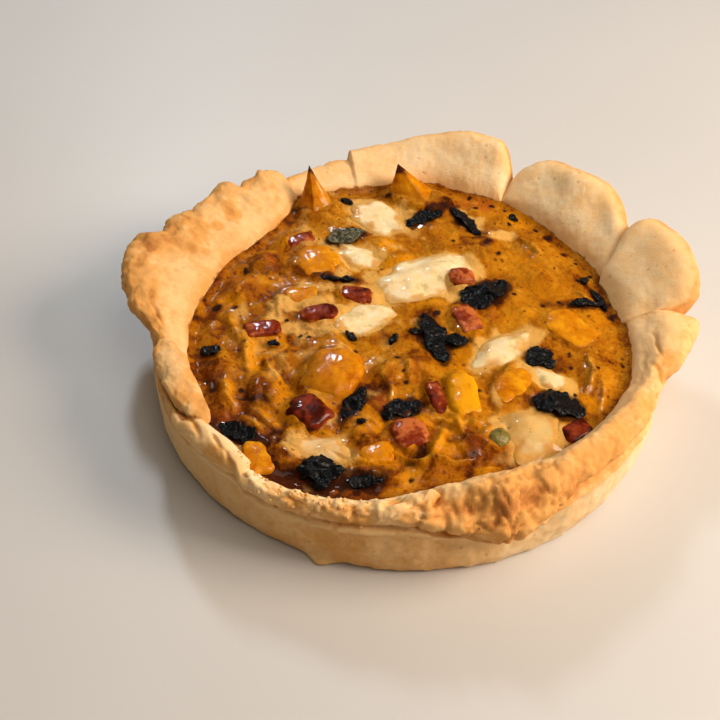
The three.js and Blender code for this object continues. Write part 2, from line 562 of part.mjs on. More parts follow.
// The pieces in the order they lie, lowest first. Each is cut by those on top of it and by the case.
const KINDS = [
  { specs: CHEESES, make: morsel, colour: COLOURS.cheese, style: { wobble: 0.3 } },
  { specs: SQUASHES, make: morsel, colour: COLOURS.squash, style: { square: 3, top: 3, wobble: 0.14 } },
  { specs: HAMS, make: morsel, colour: COLOURS.ham, style: { square: 4, top: 3.4, wobble: 0.12 } },
  { specs: CAPERS, make: morsel, colour: COLOURS.caper, style: { square: 2, top: 2, wobble: 0.05 } },
  { specs: LEAVES, make: leaf, colour: COLOURS.leaf, style: {} },
];
const pieces = KINDS.flatMap(({ specs, make, colour, style }) =>
  specs.map((spec, seed) => {
    const whole = { ...style, seed: seed + 0.5, ...spec };
    return { name: spec.name, colour, solid: make(whole, 0), grownSolid: make(whole, GAP) };
  }),
);

place("crust", shell(0).add(strap(0)), COLOURS.crust, 0.8);
const allGrown = pieces.reduce((sum, piece) => sum.add(piece.grownSolid), keepOut);
const flaked = FLAKES.reduce((sum, spec) => sum.add(flake(spec)), fillingBlock());
place("filling", largest(flaked.subtract(allGrown)), COLOURS.filling, 0.35);
pieces.forEach((piece, i) => {
  const onTop = pieces.slice(i + 1).reduce((sum, other) => sum.add(other.grownSolid), keepOut);
  place(piece.name, largest(piece.solid.subtract(onTop)), piece.colour, 0.5);
});

export default group;
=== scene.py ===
import math

import bpy
import numpy as np
from mathutils import Matrix, Vector


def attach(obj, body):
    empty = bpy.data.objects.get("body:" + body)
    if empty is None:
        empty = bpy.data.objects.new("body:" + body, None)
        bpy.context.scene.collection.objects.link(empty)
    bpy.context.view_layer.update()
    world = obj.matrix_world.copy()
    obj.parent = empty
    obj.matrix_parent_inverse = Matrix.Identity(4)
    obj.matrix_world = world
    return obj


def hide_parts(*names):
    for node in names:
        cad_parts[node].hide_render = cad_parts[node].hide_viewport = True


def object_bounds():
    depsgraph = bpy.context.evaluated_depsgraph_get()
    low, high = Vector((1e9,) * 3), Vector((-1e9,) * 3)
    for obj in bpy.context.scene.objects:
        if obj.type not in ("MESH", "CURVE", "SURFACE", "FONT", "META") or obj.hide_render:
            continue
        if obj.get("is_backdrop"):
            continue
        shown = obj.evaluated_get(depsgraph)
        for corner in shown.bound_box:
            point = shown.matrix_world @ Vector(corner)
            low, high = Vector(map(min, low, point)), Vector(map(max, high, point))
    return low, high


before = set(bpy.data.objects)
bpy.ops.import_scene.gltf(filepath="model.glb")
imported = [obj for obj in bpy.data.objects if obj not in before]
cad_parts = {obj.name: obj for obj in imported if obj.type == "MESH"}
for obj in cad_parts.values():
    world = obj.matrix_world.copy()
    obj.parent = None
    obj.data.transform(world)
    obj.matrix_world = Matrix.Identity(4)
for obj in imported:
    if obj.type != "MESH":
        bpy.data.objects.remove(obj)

# A small open quiche: a shortcrust case with an uneven rim, a browned egg filling, and the cheese, squash,
# ham, caper and charred leaves baked into it. Shapes are in millimetres, with the frame's axes and origin.
MM = 0.001
CAD_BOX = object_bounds()

# ---- the case, with the same measures as its solid ----
FOOT_R = 50.2  # flat underside
WALL_FOOT_R = 51.5  # outside of the wall, just above the foot
WALL_TOP_R = 52.2  # outside of the wall, where the rim begins
WALL_TOP_Z = 13.0
FLOOR = 4.2  # thickness of the base
FLOOR_R = 44.5  # inside radius at the floor
FILL = 15.5  # height at which the filling meets the wall
DOME = 0.6  # how much higher the filling stands in its middle
OFF_ROUND = [(322, 75, 0.7), (190, 30, -1.5)]  # where the wall isn't round: towards, half width in degrees, by

# The rim as stretches of dough, one after the other round the case. from: its start in degrees; soft: degrees
# over which it takes over. Lists are evenly spaced values along it. inner: radius where the filling meets it;
# reach: of its tip outside that; height: of its crest over the filling; droop: of the tip below the crest;
# crest: its place on the reach; thick, rough: of the dough; round: degrees rounded down to a cut at each end;
# cut: the rim at that cut.
RIM_KEYS = ("from", "soft", "inner", "reach", "height", "droop", "crest", "thick", "rough", "round", "cut")
RIM = [dict(zip(RIM_KEYS, stretch)) for stretch in (
    (4, 0.8, [43.8, 43, 42.6, 42.4], [15, 17.4, 16.6, 12.6], [6.5, 10.2, 10, 8.8], [0, 0, 0], 0.86, 4.2, 0.3,
     (2.5, 4), {"height": 4.2, "reach": 8.5}),
    (20.3, 0.8, [43.8, 42.6, 42.6, 43.7], [8.8, 14.2, 12.8, 13.2, 8.6], [7.6, 9.6, 8.6, 6.4], [0, 0, 0], 0.86,
     4.2, 0.25, (5, 9), {"height": 4.4, "reach": 9.6}),
    (64.2, 0.8, [43.4, 42.6, 43.7, 42.4, 41], [10.6, 12.4, 10.7, 10.6, 11], [9.2, 9.2, 7.4, 5, 4.4],
     [0, 0, 0], 0.84, 4.2, 0.25, (4.5, 0), {"height": 0.8, "reach": 6.5}),
    (109, 1.4, [41.2, 42.6, 43], [9.4, 7.4, 6], [2.7, 2.4, 2.4], [0, 0, 0], 0.7, 4.2, 0.3, (0, 0)),
    (128, 1.4, [42, 39.4, 37.6], [8.5, 11.4, 12.6], [4.6, 6, 5.2], [0, 0.4, 0], 0.8, 4.6, 0.6, (3, 0)),
    (141, 2, [37.6, 37.4, 39.2, 39.8, 42.2, 43.8], [13, 15.6, 14.8, 18.2, 12.6, 5.8],
     [5.2, 5.4, 5.6, 5.8, 5.2, 3.6], [0.4, 0.5, 0], 0.78, 4.4, 0.6, (0, 0)),
    (199, 3, [44.2, 44.6, 46.6, 48], [5.8, 6.4, 5.4, 4.8], [1.6, 1, 0.2, 1.6], [0, 0, 0], 0.7, 3, 0.3,
     (0, 0)),
    (222, 2.5, [47.8, 47.2, 48.2], [5, 6, 4.6], [2.6, 3.8, 3.2], [0.3, 0.6, 0.3], 0.45, 4, 0.5, (0, 0)),
    (239, 1.6, [49.4, 49.4, 48.6, 47, 44.8], [3.2, 3.2, 3.6, 5, 7], [1, 1, 1.4, 2.4, 3.4], [0.2, 0.3, 0.4],
     0.45, 4, 0.35, (0, 0)),
    (277, 3.5, [44.4, 42.8, 44.2], [8.4, 12.8, 8.4], [3.8, 5, 4.2], [1.2, 3.4, 1.8], 0.38, 4.6, 1.1, (0, 0)),
    (309, 3, [44.4, 45.2, 46], [7.6, 7.2, 6.6], [4.2, 4.2, 2.8], [1.6, 1.4, 0.8], 0.38, 4.4, 0.6, (0, 0)),
    (340, 4, [46.4, 45.8, 44.4], [6.2, 10, 15.4], [2.6, 5, 4.8], [0.8, 0.8, 0.4], 0.6, 4.2, 0.5, (0, 2.5)),
)]
# Bumps and notches of the rim's edge: degrees, and what they add to its reach.
EDGE = [
    (0, 0), (50, 0), (137, 0), (139, 0.5), (141.5, -0.6), (144.5, 2.4), (150, 0.4), (155, -0.9), (161.5, 0.8),
    (166, -1), (168.8, 2.6), (171, 2), (176, 0), (230, 0), (338, 0), (345.5, -1.2), (350, 0),
]
# How far the petals at the back lean sideways at full height: degrees at their foot, and degrees of lean.
LEAN = [(0, 0), (4, 0), (20.3, 12), (64.2, 2.5), (84, 0)]
LEAN_HEIGHT = 9.5
# The strap that is folded over the split, and the lip of dough pressed out at the foot: degrees, millimetres.
STRAP = {"from": 198, "to": 224.5, "radius": (48.6, 48.2), "top": (20.4, 18.6), "width": 6, "thick": 3.6}
LIP = {"at": 257, "half": 5, "reach": 1.6, "height": 1.4}

# ---- pieces baked into the top, as their solids have them ----
def lump(x, y, length, width, turn, rise, sink, **more):
    """A soft piece: an oval turned by degrees, how far it rises over the filling and sinks in it, and perhaps
    top and lean for its form, film for the custard on it, shade (towards degrees, amount) for painted shade
    that gives that side the custard's colour, and tone."""
    return {"at": (x, y), "size": (length, width), "turn": turn, "rise": rise, "sink": sink, **more}


def leaf(x, y, length, width, turn, ruffle, lift, branch=None):
    """A leaf's blades: an oval that waves by ruffle and stands lift over the filling, and perhaps a branch."""
    ovals = [(x, y, length, width, turn)] + ([branch] if branch else [])
    return [{"at": o[:2], "size": o[2:4], "turn": o[4], "ruffle": ruffle, "lift": lift} for o in ovals]


CHEESES = {
    "cheese_back": lump(-8, 29.5, 15, 9.5, -27, 1.1, 2.4, film=0),
    "cheese_middle": lump(4, 11.5, 23, 11.5, 30, 1.5, 2.6, film=-0.2),
    "cheese_centre_left": lump(-8.5, -2.2, 13, 7.6, 38, 1, 2.2),
    "cheese_right": lump(19.8, -7.4, 15.5, 6.4, 42, 1, 2.2, film=0.15),
    "cheese_right_low": lump(28.2, -14.4, 9.4, 5, -24, 0.9, 2, film=0.25),
    # cheese_front_right's low tone, extra film and shade are partly painted shade that darkens it, partly its
    # own darker, more translucent yellow.
    "cheese_front_right": lump(25.2, -29.2, 13, 11, 20, 1.6, 2.8, tone=-0.9, film=0.4, shade=(150, 0.3)),
    "cheese_slab_front": lump(-13.2, -37, 11.6, 5.2, -6, 1.2, 2.4, film=0.6),
    "cheese_left": lump(-11.6, 16.6, 10.4, 6.4, -20, 0.9, 2, film=0.2),
}
SQUASHES = {
    "squash_peak_left": lump(-21.6, 31.4, 8.4, 8, 40, 9.4, 3.2, top=0.9, lean=(-2.4, 3)),
    "squash_peak_back": lump(0.2, 37.4, 14, 7.4, -20, 6.2, 3, top=0.95, lean=(-5, 4)),
    # squash_yellow's shade paints shade on its left face.
    "squash_yellow": lump(-13.6, -19.6, 12.6, 10.4, 68, 3, 3, top=3, lean=(1.2, 1), tone=-0.15, film=0.15,
                          shade=(200, 0.7)),
    "squash_orange": lump(21.6, -17.6, 11.6, 6.8, 64, 1.8, 2.6),
    "squash_bright": lump(12.2, -21.8, 11.6, 6.4, 106, 2.2, 2.8, tone=0.5),
    "squash_flat": lump(33.6, -0.4, 11.4, 7.4, -44, 0.8, 2.4, film=0.4),
    "squash_left": lump(-19.6, 12.8, 9.6, 8.4, 10, 1.8, 2.8, film=0.15),
    "squash_middle_left": lump(-21.2, 2.4, 9.6, 5.4, 14, 1.1, 2.4, film=0.3),
    "squash_front_left": lump(-24.2, -40, 8.6, 5.4, 110, 1.6, 2.6, film=0.3),
    "squash_front": lump(-3, -37.2, 6.8, 5.6, 20, 1.3, 2.4),
}
HAMS = {
    "ham_on_cheese": lump(10.8, 11.2, 5.8, 4.8, 18, 2.4, 1.2, tone=0.2),
    "ham_centre": lump(12.2, -0.6, 8.2, 5, -66, 1.6, 2, tone=0.15),
    "ham_centre_left": lump(-10.6, 4, 7, 4.2, -8, 1.3, 2),
    "ham_left_long": lump(-17.4, -2.8, 7.8, 4, 18, 1.6, 2, tone=0),
    "ham_left": lump(-28, -8.8, 7.4, 4.4, 18, 1.4, 2, film=0.2),
    "ham_front_left": lump(-16.2, -29.4, 8.2, 6.8, -38, 2.6, 2.4, tone=-0.3),
    "ham_front": lump(2.6, -32.2, 7, 6.4, 20, 1.8, 2.4, tone=0.2, shade=(80, 0.4)),
    "ham_strip": lump(7.2, -22.4, 8.6, 3.2, -70, 1.6, 2),
    "ham_right": lump(33.6, -27, 6.4, 4.6, 36, 1.2, 2, tone=-0.3),
    "ham_back_left": lump(-24, 19.6, 6.4, 3.8, 28, 1.1, 2, film=0.3),
}
CAPERS = {
    "caper": lump(19, -31.2, 5, 4.6, 80, 2, 2, film=0.2),
}
LEAVES = {
    "leaf_big_centre": leaf(15.8, 7.6, 12.4, 7, 44, 1.1, 1.3),
    "leaf_forked": leaf(6, -6.2, 14, 4.2, -68, 0.8, 1.5, branch=(9.2, -7, 7.4, 3, 2)),
    "leaf_back": leaf(2.4, 30.6, 11, 3.6, 42, 0.6, 1),
    "leaf_back_curled": leaf(11.4, 30, 10.6, 3, -50, 0.7, 0.9),
    "leaf_right": leaf(30.6, -21.6, 10.4, 6.4, -12, 1, 1.5),
    "leaf_right_small": leaf(27.2, -9.8, 6.4, 4.8, -42, 0.8, 1.1),
    "leaf_right_thread": leaf(37.2, 7.4, 7.6, 1.9, 12, 0.5, 0.7, branch=(40, 9.6, 6.4, 1.9, -64)),
    "leaf_front": leaf(-12.8, -42.2, 7.6, 6, -80, 1, 1.2),
    "leaf_front_middle": leaf(0.6, -25.8, 8.4, 5, 34, 1, 1.2),
    "leaf_front_upper": leaf(-8.2, -25.4, 9, 3.4, 68, 0.7, 1.1),
    "leaf_front_left": leaf(-28.8, -34.6, 8.4, 3.4, -26, 0.6, 0.8),
    "leaf_front_rim": leaf(-4.4, -43.2, 7, 2.8, 18, 0.5, 0.8),
    "leaf_twig": leaf(-15.2, 8.2, 8, 1.6, -4, 0.4, 0.8),
    "leaf_green": leaf(-14.4, 22, 9, 4.4, 30, 0.7, 0.8),
}
LEAF_THICK = 0.6
LEAF_CLEAR = 0.5  # from the filling up to the middle of a leaf that lies on it

# Lumps that the filling's skin covers: x, y, radius, height.
LUMPS = [
    (-26, -24.4, 7, 2.4), (-33, -27, 4.4, 1.5), (-36, -19, 4.5, 1.3), (-33, 3, 6, 1.2), (-30, 12, 5, 1.1),
    (-3, -17, 5.5, 1.5), (3, -14, 4.5, 1.2), (14, -33.5, 5.5, 1.3), (8, -37.5, 5, 1.2),
    (-19, -38.5, 4.5, 1.2), (-6, -33, 4.5, 1.1), (-24, -15, 5, 1.1), (6, 2.6, 5, 1.4), (-3, 17, 5.5, 1.2),
    (24, -27, 4, 0.7), (38, -12, 6, 0.7), (27, 14, 8, 0.7), (16, 22, 7, 0.8), (-26, -1.5, 4.5, 0.9),
    (-14, -11, 5, 1),
]
# Flakes of charred leaf stuck to the filling: x, y, length, width, turn.
FLAKES = [
    (-37.4, -15, 4.6, 3.6, 20), (-10.5, -8.2, 3.2, 2.2, -30), (2, -5.4, 2.6, 2, 10), (-2.1, -8.4, 3, 2, 60),
    (-6.3, -30.6, 2.8, 2, 40), (-25.3, -12.6, 3, 2.2, -20), (-15.4, 33.6, 3.6, 2.4, -26),
    (-14.6, -42.6, 4, 2, 25), (22, 33.6, 2.8, 2, -30), (37, 14.6, 2.8, 2, 60),
]

# ---- how the top is coloured: x, y, length, width, turn, strength ----
BROWN_PATCHES = [
    (-32, 10, 11, 8, 60, 0.45), (-37, -3, 5, 4, 0, 0.4), (-35, -21, 12, 7, -60, 0.6),
    (-26, -25.5, 9, 8, 0, 0.85), (-22, -36, 8, 6, 30, 0.9), (-17, -43, 8, 4, 10, 0.7),
    (-5, -41, 16, 4, 6, 0.65), (9, -39, 16, 4, 12, 0.65), (3, -12, 8, 6, 20, 0.75), (2, -7, 6, 5, 0, 0.6),
    (-29, -15, 8, 8, 0, 0.4), (-20, -10, 12, 10, 0, 0.35), (-3, -21, 7, 5, 60, 0.5), (4, -27, 7, 5, 0, 0.6),
    (14, -31, 6, 4, 30, 0.5), (18.5, 5.5, 4, 3, 0, 0.6), (12, 24, 4, 5, 0, 0.6), (16, 23.5, 3.4, 3, 0, 0.75),
    (24, 27, 4, 5, 30, 0.5), (29.5, 28.5, 3.4, 2, -50, 0.9), (33, 23.5, 2.4, 2, 0, 0.9),
    (36, 15, 3, 4, 20, 0.6), (41, 15, 5, 3, -60, 0.7), (28.5, 6.5, 3.6, 2.6, 0, 0.7),
    (32, 7.2, 3, 1.8, 30, 0.7), (33.5, 4, 2, 2, 0, 0.7), (31, -11, 4, 5, 0, 0.5), (41.5, -8, 5, 6, 0, 0.55),
    (36.5, -24, 6, 3, 50, 0.7), (27, -23.6, 4, 6, -20, 0.75), (15.5, 37, 6, 4, -30, 0.45),
    (-27, 27, 5, 9, -30, 0.7), (-37, 3, 4, 9, -20, 0.5), (-17, -8, 7, 6, 0, 0.3), (20, -37, 9, 3, 24, 0.7),
    (-9, -40, 6, 3, 0, 0.6), (-4.8, -8, 5, 4, 0, 0.8), (-37, -11, 4, 8, 0, 0.55),
    (-8, -37.4, 7, 1.6, -8, 0.85), (2.4, -38.4, 7, 1.6, -24, 0.85), (5.6, -35.4, 5, 5, -20, 0.8),
    (-14.6, -35, 8, 1.6, 4, 0.8), (11.4, -32.6, 1.6, 5, 20, 0.7),
]
GOLD_PATCHES = [
    (-29, 6, 6, 4, 20, 0.8), (-28, 21.5, 5, 9, -10, 0.6), (-3, 15.5, 9, 4, 35, 0.8), (-5, 20, 5, 6, 0, 1),
    (-10, 27.6, 6.4, 3.6, 10, 0.9), (23, 34, 8, 7, -30, 0.7), (16, 34, 6, 5, 0, 0.5),
    (23, 17, 16, 12, 0, 0.4), (27, 11, 14, 10, 0, 0.35), (23, 2, 9, 5, 30, 0.6), (5, 3.4, 6.4, 3, 6, 1),
    (12, -8, 8, 9, 0, 0.7), (10, -15, 9, 8, 0, 0.6), (38, 3, 9, 6, 0, 0.5), (36, -20, 8, 5, 20, 0.7),
    (40, -14, 5, 9, 0, 0.4), (-29, -15, 3, 11, 6, 0.9), (-32, -26, 4, 8, 10, 0.7), (-22, -25, 5, 11, 20, 0.6),
    (-9, -16, 8, 4, 40, 0.3), (8, -33.5, 3, 8, -15, 0.8), (11, -34.5, 6, 5, 0, 0.6),
    (17, -30, 8, 4, -30, 0.7), (-3, -30, 5, 5, 0, 0.7), (-1.5, -38, 8, 5, 0, 0.6), (5, -28, 6, 3, -30, 0.7),
    (14, -24, 3, 8, 10, 0.5), (-12, 12, 10, 5, 0, 0.3), (-33, -9, 3, 9, 20, 0.5), (20, -24, 7, 3, 10, 0.4),
    (-33, 7, 8, 9, 60, 0.5), (-36, -0.6, 6, 6, 0, 0.8), (-24, -30, 8, 3, -40, 0.8), (2.6, -34, 2, 5, 20, 0.7),
    (-16, -33.4, 8, 2, 4, 0.7), (-6, -39.6, 8, 1.8, -6, 0.8), (10.6, -28.4, 2, 5, 26, 0.8),
]
CREAM_PATCHES = [
    (-12, 34, 8, 5, -20, 0.8), (-3.5, 32, 5, 6, 0, 0.8), (13, 30.5, 6, 6, 0, 0.8), (19, 27, 8, 4, 20, 0.7),
    (-8, 10, 5, 5, 0, 0.6), (-4, 7, 6, 7, 0, 0.8), (16, -12, 6, 9, -30, 0.6), (18.5, -21, 3, 9, 0, 0.55),
    (-33, -4, 4, 7, -20, 0.5), (-24, 23, 5, 6, 0, 0.5), (-22, 20, 6, 4, 30, 0.4), (-17, -2, 12, 10, 0, 0.7),
    (10, 33, 4, 6, 0, 0.5), (25, -3, 9, 5, 20, 0.6), (30, -29, 5, 6, 0, 0.7), (19, -27, 5, 5, 0, 0.6),
    (-22, -7, 12, 5, 0, 0.6), (-20, 5, 8, 6, 30, 0.6), (-28, -12, 6, 5, 0, 0.3), (-19, -14, 7, 4, 20, 0.4),
    (8.6, 8, 9, 7, 0, 1), (-14, 10, 6, 5, 0, 0.6), (-23, -18, 5, 4, 0, 0.3), (4, -2, 6, 4, 0, 0.5),
    (-22, 0, 14, 6, 20, 0.75), (-14, -6, 10, 5, 10, 0.7), (-8, -5.6, 6, 4, 30, 0.7), (-26, -5, 6, 7, 0, 0.6),
]
RUST_PATCHES = [
    (-34, 4, 9, 11, 60, 0.35), (15, 37.5, 8, 6, -40, 0.9), (12, 38.5, 5, 5, 0, 0.6),
    (-30, 12.5, 3, 6, 20, 0.8), (24, -12, 3, 4, 0, 0.9), (22, -26.4, 3.4, 2.4, -30, 0.9),
    (-31, -31, 4, 4, 0, 0.7), (1, -16, 8, 6, 0, 0.3), (14.6, -33, 3, 4, 0, 0.6), (-25, -12, 4, 3, 0, 0.5),
    (-3, -24, 3, 5, 0, 0.5), (17.5, 2, 2, 6, 0, 0.6), (-9, 6.5, 6, 3, 0, 0.5),
]
# Folds in the skin: x and y of both ends, half width, height.
FOLDS = [
    (-31, -10, -28.4, -20, 1, 0.9), (-34.4, -6, -31.4, -13, 1.1, 0.8), (-33.5, -22.6, -30.8, -29.6, 1.2, 0.9),
    (8.6, -31, 7, -37.4, 0.9, 1), (-21, -41.4, -15.5, -41.2, 0.9, 0.8), (-6, -41.6, 1.6, -41.4, 1.1, 0.9),
    (4, -38.8, 9.6, -37.6, 0.9, 0.8), (10, -38.4, 14, -36.6, 0.8, 0.8), (15.4, -38.2, 20, -36.8, 0.8, 0.8),
    (9, -29, 15.4, -28, 0.9, 0.8), (13, -31.4, 19, -33.4, 0.9, 0.7), (-30, -31, -24, -33.4, 1.2, 0.7),
    (37.6, -8, 36.2, -17, 0.7, 0.6), (39.6, -15, 39, -21, 0.7, 0.6), (24, 27, 27.6, 21.6, 0.8, 0.7),
    (-3.4, -18, -1, -23.4, 1, 0.7), (0.4, -13, 2.4, -18.4, 1, 0.6), (-7, -33.4, -3, -36.4, 0.8, 0.6),
    (-6.6, -29, -2.6, -30.2, 0.7, 0.7), (-7, -31, -3.4, -32.4, 0.7, 0.6), (-36, -12, -34.6, -18, 0.9, 0.5),
    (-9, -38.6, -2, -39.6, 0.7, 0.9), (-1, -36.6, 5, -39.4, 0.6, 0.8), (5.4, -31.6, 2.4, -36.4, 0.6, 0.8),
    (-20, -34.4, -12, -33.6, 0.8, 0.8), (-27.4, -28.8, -22, -33.4, 0.8, 0.8), (9.4, -26, 12.6, -31, 0.6, 0.7),
    (-26.6, -16.6, -22.4, -22.6, 0.8, 0.7), (-21, -5.6, -14, -7.4, 0.7, 0.5), (-27, 1.4, -25, -5, 0.7, 0.5),
    (34, 12.6, 37.4, 8.6, 0.6, 0.4), (-13, -10, -9.4, -12.6, 0.7, 0.6), (4.6, -26, 8.8, -28.6, 0.8, 0.6),
]
# Wettest, most crinkled places: x, y, length, width, turn, strength.
SHINES = [
    (-27.2, 3.2, 5.4, 3.6, 40, 1.3), (-24.5, 22.7, 4, 3, 0, 1), (-24, 12, 4.4, 3, 60, 0.9),
    (-8, 3.4, 3, 4.4, -20, 1), (-3, 11, 3, 2.4, 0, 1), (-7.2, -14.3, 5, 3, 20, 1.3),
    (-32.4, -9.4, 4, 5, 0, 1.2), (-35, -22.9, 5, 2.6, -10, 1.1), (3.5, 27.5, 5, 2.6, 0, 1.1),
    (17.5, 28.5, 4.4, 2.6, 0, 1), (45.5, 14, 3, 3, 0, 1), (-17.3, -11.4, 4, 3, 0, 0.9),
    (-17, -15, 5, 3, 30, 0.8), (-13, -12, 4, 5, 0, 0.6), (25, 22.6, 2, 6, 30, 0.8), (-31, -3, 4, 4, 0, 0.6),
    (-20, -3, 6, 3, 0, 0.5), (11, -2, 3, 5, 0, 0.7), (36.5, -13, 2, 8, 0, 0.7), (38.6, -18, 2, 6, 0, 0.6),
    (5, -26, 6, 3, 0, 0.6), (-31, -32, 5, 3, 40, 0.6), (16.6, -30, 3, 6, 0, 0.8), (-5, -30, 4, 4, 0, 0.6),
    (-1.5, -21.6, 3, 4, 0, 0.7), (14, -36, 6, 3, 10, 0.5),
]
# Burnt spots on the skin: x, y, radius.
SPOTS = [
    (-34, 8.8, 1), (-38, -2.6, 1.3), (-34.6, -3.2, 0.9), (-23.6, -5.2, 0.6), (-18.8, -9.4, 0.7),
    (-27, -27, 0.9), (-29.6, -25, 0.8), (-9.4, -11.6, 0.7), (16, 23.4, 1.1), (18.6, 20.6, 0.8),
    (8.6, 23.8, 0.7), (21, 31.4, 0.7), (29.4, 28.6, 1), (33, 23.6, 0.9), (38.4, 17, 0.8), (35.6, 14.6, 0.7),
    (42.4, 5, 1.1), (28, 6, 0.9), (31.4, 7.2, 0.8), (33.6, 3.8, 0.8), (22, 8.4, 0.6), (37.4, -1.6, 0.7),
    (33, -7.6, 0.8), (38.4, -11.2, 0.6), (41, -8.2, 0.6), (43.8, -8.6, 0.7), (33, -11.2, 0.7), (31, -14, 0.7),
    (33.8, -18.2, 0.6), (20.3, -17.2, 1), (15.2, -20.8, 0.7), (15.8, -11.6, 0.8), (1, -18.8, 0.7),
    (-1, -13, 0.8), (0.4, -16.6, 0.6), (13.4, 36, 0.8), (17, 38, 1), (12, 40.4, 0.7), (20, 37, 0.7),
    (-6.2, 36.8, 1), (-13.4, 25, 0.6), (-8.6, -42.8, 0.8), (-8.8, -45.2, 0.8), (-21.2, -41.8, 0.8),
    (3.4, -41.8, 0.8), (10.6, 16.8, 0.5), (6.2, 0.6, 1), (30.6, 17.6, 0.5), (24.6, -5.8, 0.4),
    (35.6, 21, 0.6), (27, 31, 0.7), (-20.6, -8.8, 0.6),
]

# ---- small tools ----
RAD = math.pi / 180
rng = np.random.default_rng(7)


def clamp01(v):
    return np.clip(v, 0.0, 1.0)


def ease(v):
    c = clamp01(v)
    return c * c * (3 - 2 * c)


def lerp(a, b, t):
    return a + (b - a) * t


def between(v, low, soft, high, fade):
    """1 from low to high: eases in over soft past low, and out over fade before high."""
    return ease((v - low) / soft) * ease((high - v) / fade)


def wrap(deg):
    return (np.asarray(deg, float) + 180) % 360 - 180


def facing(deg, at, half):
    """1 at an angle, eased to 0 half degrees away from it."""
    return 1 - ease(np.abs(wrap(deg - at)) / half)


def signed_power(v, p):
    """The rule of a superellipse: |v| to the power p, with v's sign."""
    return np.sign(v) * np.abs(v) ** p


def through(values, t):
    """The Catmull-Rom spline through evenly spaced values, at t from 0 to 1, flat past its ends."""
    values = np.asarray(values, float)
    last = len(values) - 1
    k = np.clip(np.floor(t * last).astype(int), 0, last - 1)
    a, b, c, d = (values[np.clip(k + step, 0, last)] for step in (-1, 0, 1, 2))
    u = t * last - k
    return b + 0.5 * u * (c - a + u * (2 * a - 5 * b + 4 * c - d + u * (3 * (b - c) + d - a)))


def hash3(i, j, k):
    s = np.sin(i * 127.1 + j * 311.7 + k * 74.7) * 43758.5453
    return s - np.floor(s)


def noise(x, y, z):
    """Smooth value noise from -1 to 1: random values at lattice points, eased between them."""
    x, y, z = np.broadcast_arrays(x, y, z)
    i, j, k = np.floor(x), np.floor(y), np.floor(z)
    u, v, w = ease(x - i), ease(y - j), ease(z - k)
    total = 0.0
    for dk, share_k in ((0, 1 - w), (1, w)):
        for dj, share_j in ((0, 1 - v), (1, v)):
            edge = lerp(hash3(i, j + dj, k + dk), hash3(i + 1, j + dj, k + dk), u)
            total = total + share_k * share_j * edge
    return 2 * total - 1


def fbm(p, size, octaves=4, gain=0.5, seed=0.0):
    """Noise summed over octaves: each has half the size of the one before and gain times its height."""
    total, height = 0.0, 1.0
    x, y, z = p[..., 0] / size, p[..., 1] / size, p[..., 2] / size
    for octave in range(octaves):
        shift = seed + 11.3 * octave
        total = total + height * noise(x + shift, 0.8 * y - 0.6 * z + shift, 0.6 * y + 0.8 * z - shift)
        x, y, z = 2 * x, 2 * y, 2 * z
        height *= gain
    return total


def pushed(p, by, *how):
    """Points moved by times their fbm, on all three axes alike."""
    return p + by * fbm(p, *how)[..., None]


def cells(p, size, seed=0.0):
    """Distance to the nearest and second nearest of points strewn one to a cell, in cells, and the nearest's
    draw."""
    q = p / size
    base = np.floor(q)
    near = np.full(q.shape[:-1], 9.0)
    second, draw = near.copy(), np.zeros_like(near)
    for step in np.ndindex(3, 3, 3):
        at = base + step - 1
        h = [hash3(at[..., 0] + shift + seed, at[..., 1], at[..., 2]) for shift in (0.0, 17.3, 41.9)]
        apart = [at[..., axis] + h[axis] - q[..., axis] for axis in range(3)]
        d = np.sqrt(apart[0] ** 2 + apart[1] ** 2 + apart[2] ** 2)
        closer = d < near
        second = np.where(closer, near, np.minimum(second, d))
        draw = np.where(closer, h[0], draw)
        near = np.where(closer, d, near)
    return near, second, draw


def domes(p, size, seed=0.0):
    """Touching round lumps, from 0 in the creases between them to 1 on top: a cauliflower's surface."""
    return np.sqrt(clamp01(1 - (cells(p, size, seed)[0] / 0.95) ** 2))


def to_line(x, y, x0, y0, x1, y1):
    """Distance from points to a stretch of line, and how far along it the nearest place is, 0 to 1."""
    along = clamp01(((x - x0) * (x1 - x0) + (y - y0) * (y1 - y0)) / ((x1 - x0) ** 2 + (y1 - y0) ** 2))
    return np.hypot(x - lerp(x0, x1, along), y - lerp(y0, y1, along)), along


def patches(x, y, specs, ragged=0.35, size=2.2):
    """Soft oval patches, the strongest winning: full in the middle, gone at an edge that noise wobbles."""
    push = ragged * noise(x / size, y / size, 4.7) + 0.5 * ragged * noise(2.3 * x / size, 2.3 * y / size, 9.1)
    total = np.zeros_like(x)
    for px, py, length, width, turn, strength in specs:
        c, s = math.cos(turn * RAD), math.sin(turn * RAD)
        u, v = c * (x - px) + s * (y - py), c * (y - py) - s * (x - px)
        d = np.hypot(u / (length / 2), v / (width / 2)) + push
        total = np.maximum(total, strength * (1 - ease((d - 0.35) / 0.9)))
    return total


def drawn_lines(x, y, specs, wobble, size, wide, ends, middle):
    """Lines with soft sides, strongest midway along: how full each is, and its height. Noise bends them."""
    x, y = x + wobble * noise(x / size, y / size, 1.0), y + wobble * noise(x / size, y / size, 5.0)
    for x0, y0, x1, y1, half, height in specs:
        d, along = to_line(x, y, x0, y0, x1, y1)
        yield (1 - ease(d / half / wide)) * (ends + middle * np.sin(math.pi * along)), height


def around(table, deg):
    """Smooth values round the case from (degrees, value) pairs, eased from each pair to the next."""
    angles, values = np.array(table, float).T
    angles, values = np.append(angles, angles[0] + 360), np.append(values, values[0])
    turn = (deg - angles[0]) % 360 + angles[0]
    k = np.clip(np.searchsorted(angles, turn, side="right") - 1, 0, len(table) - 1)
    return lerp(values[k], values[k + 1], ease((turn - angles[k]) / (angles[k + 1] - angles[k])))


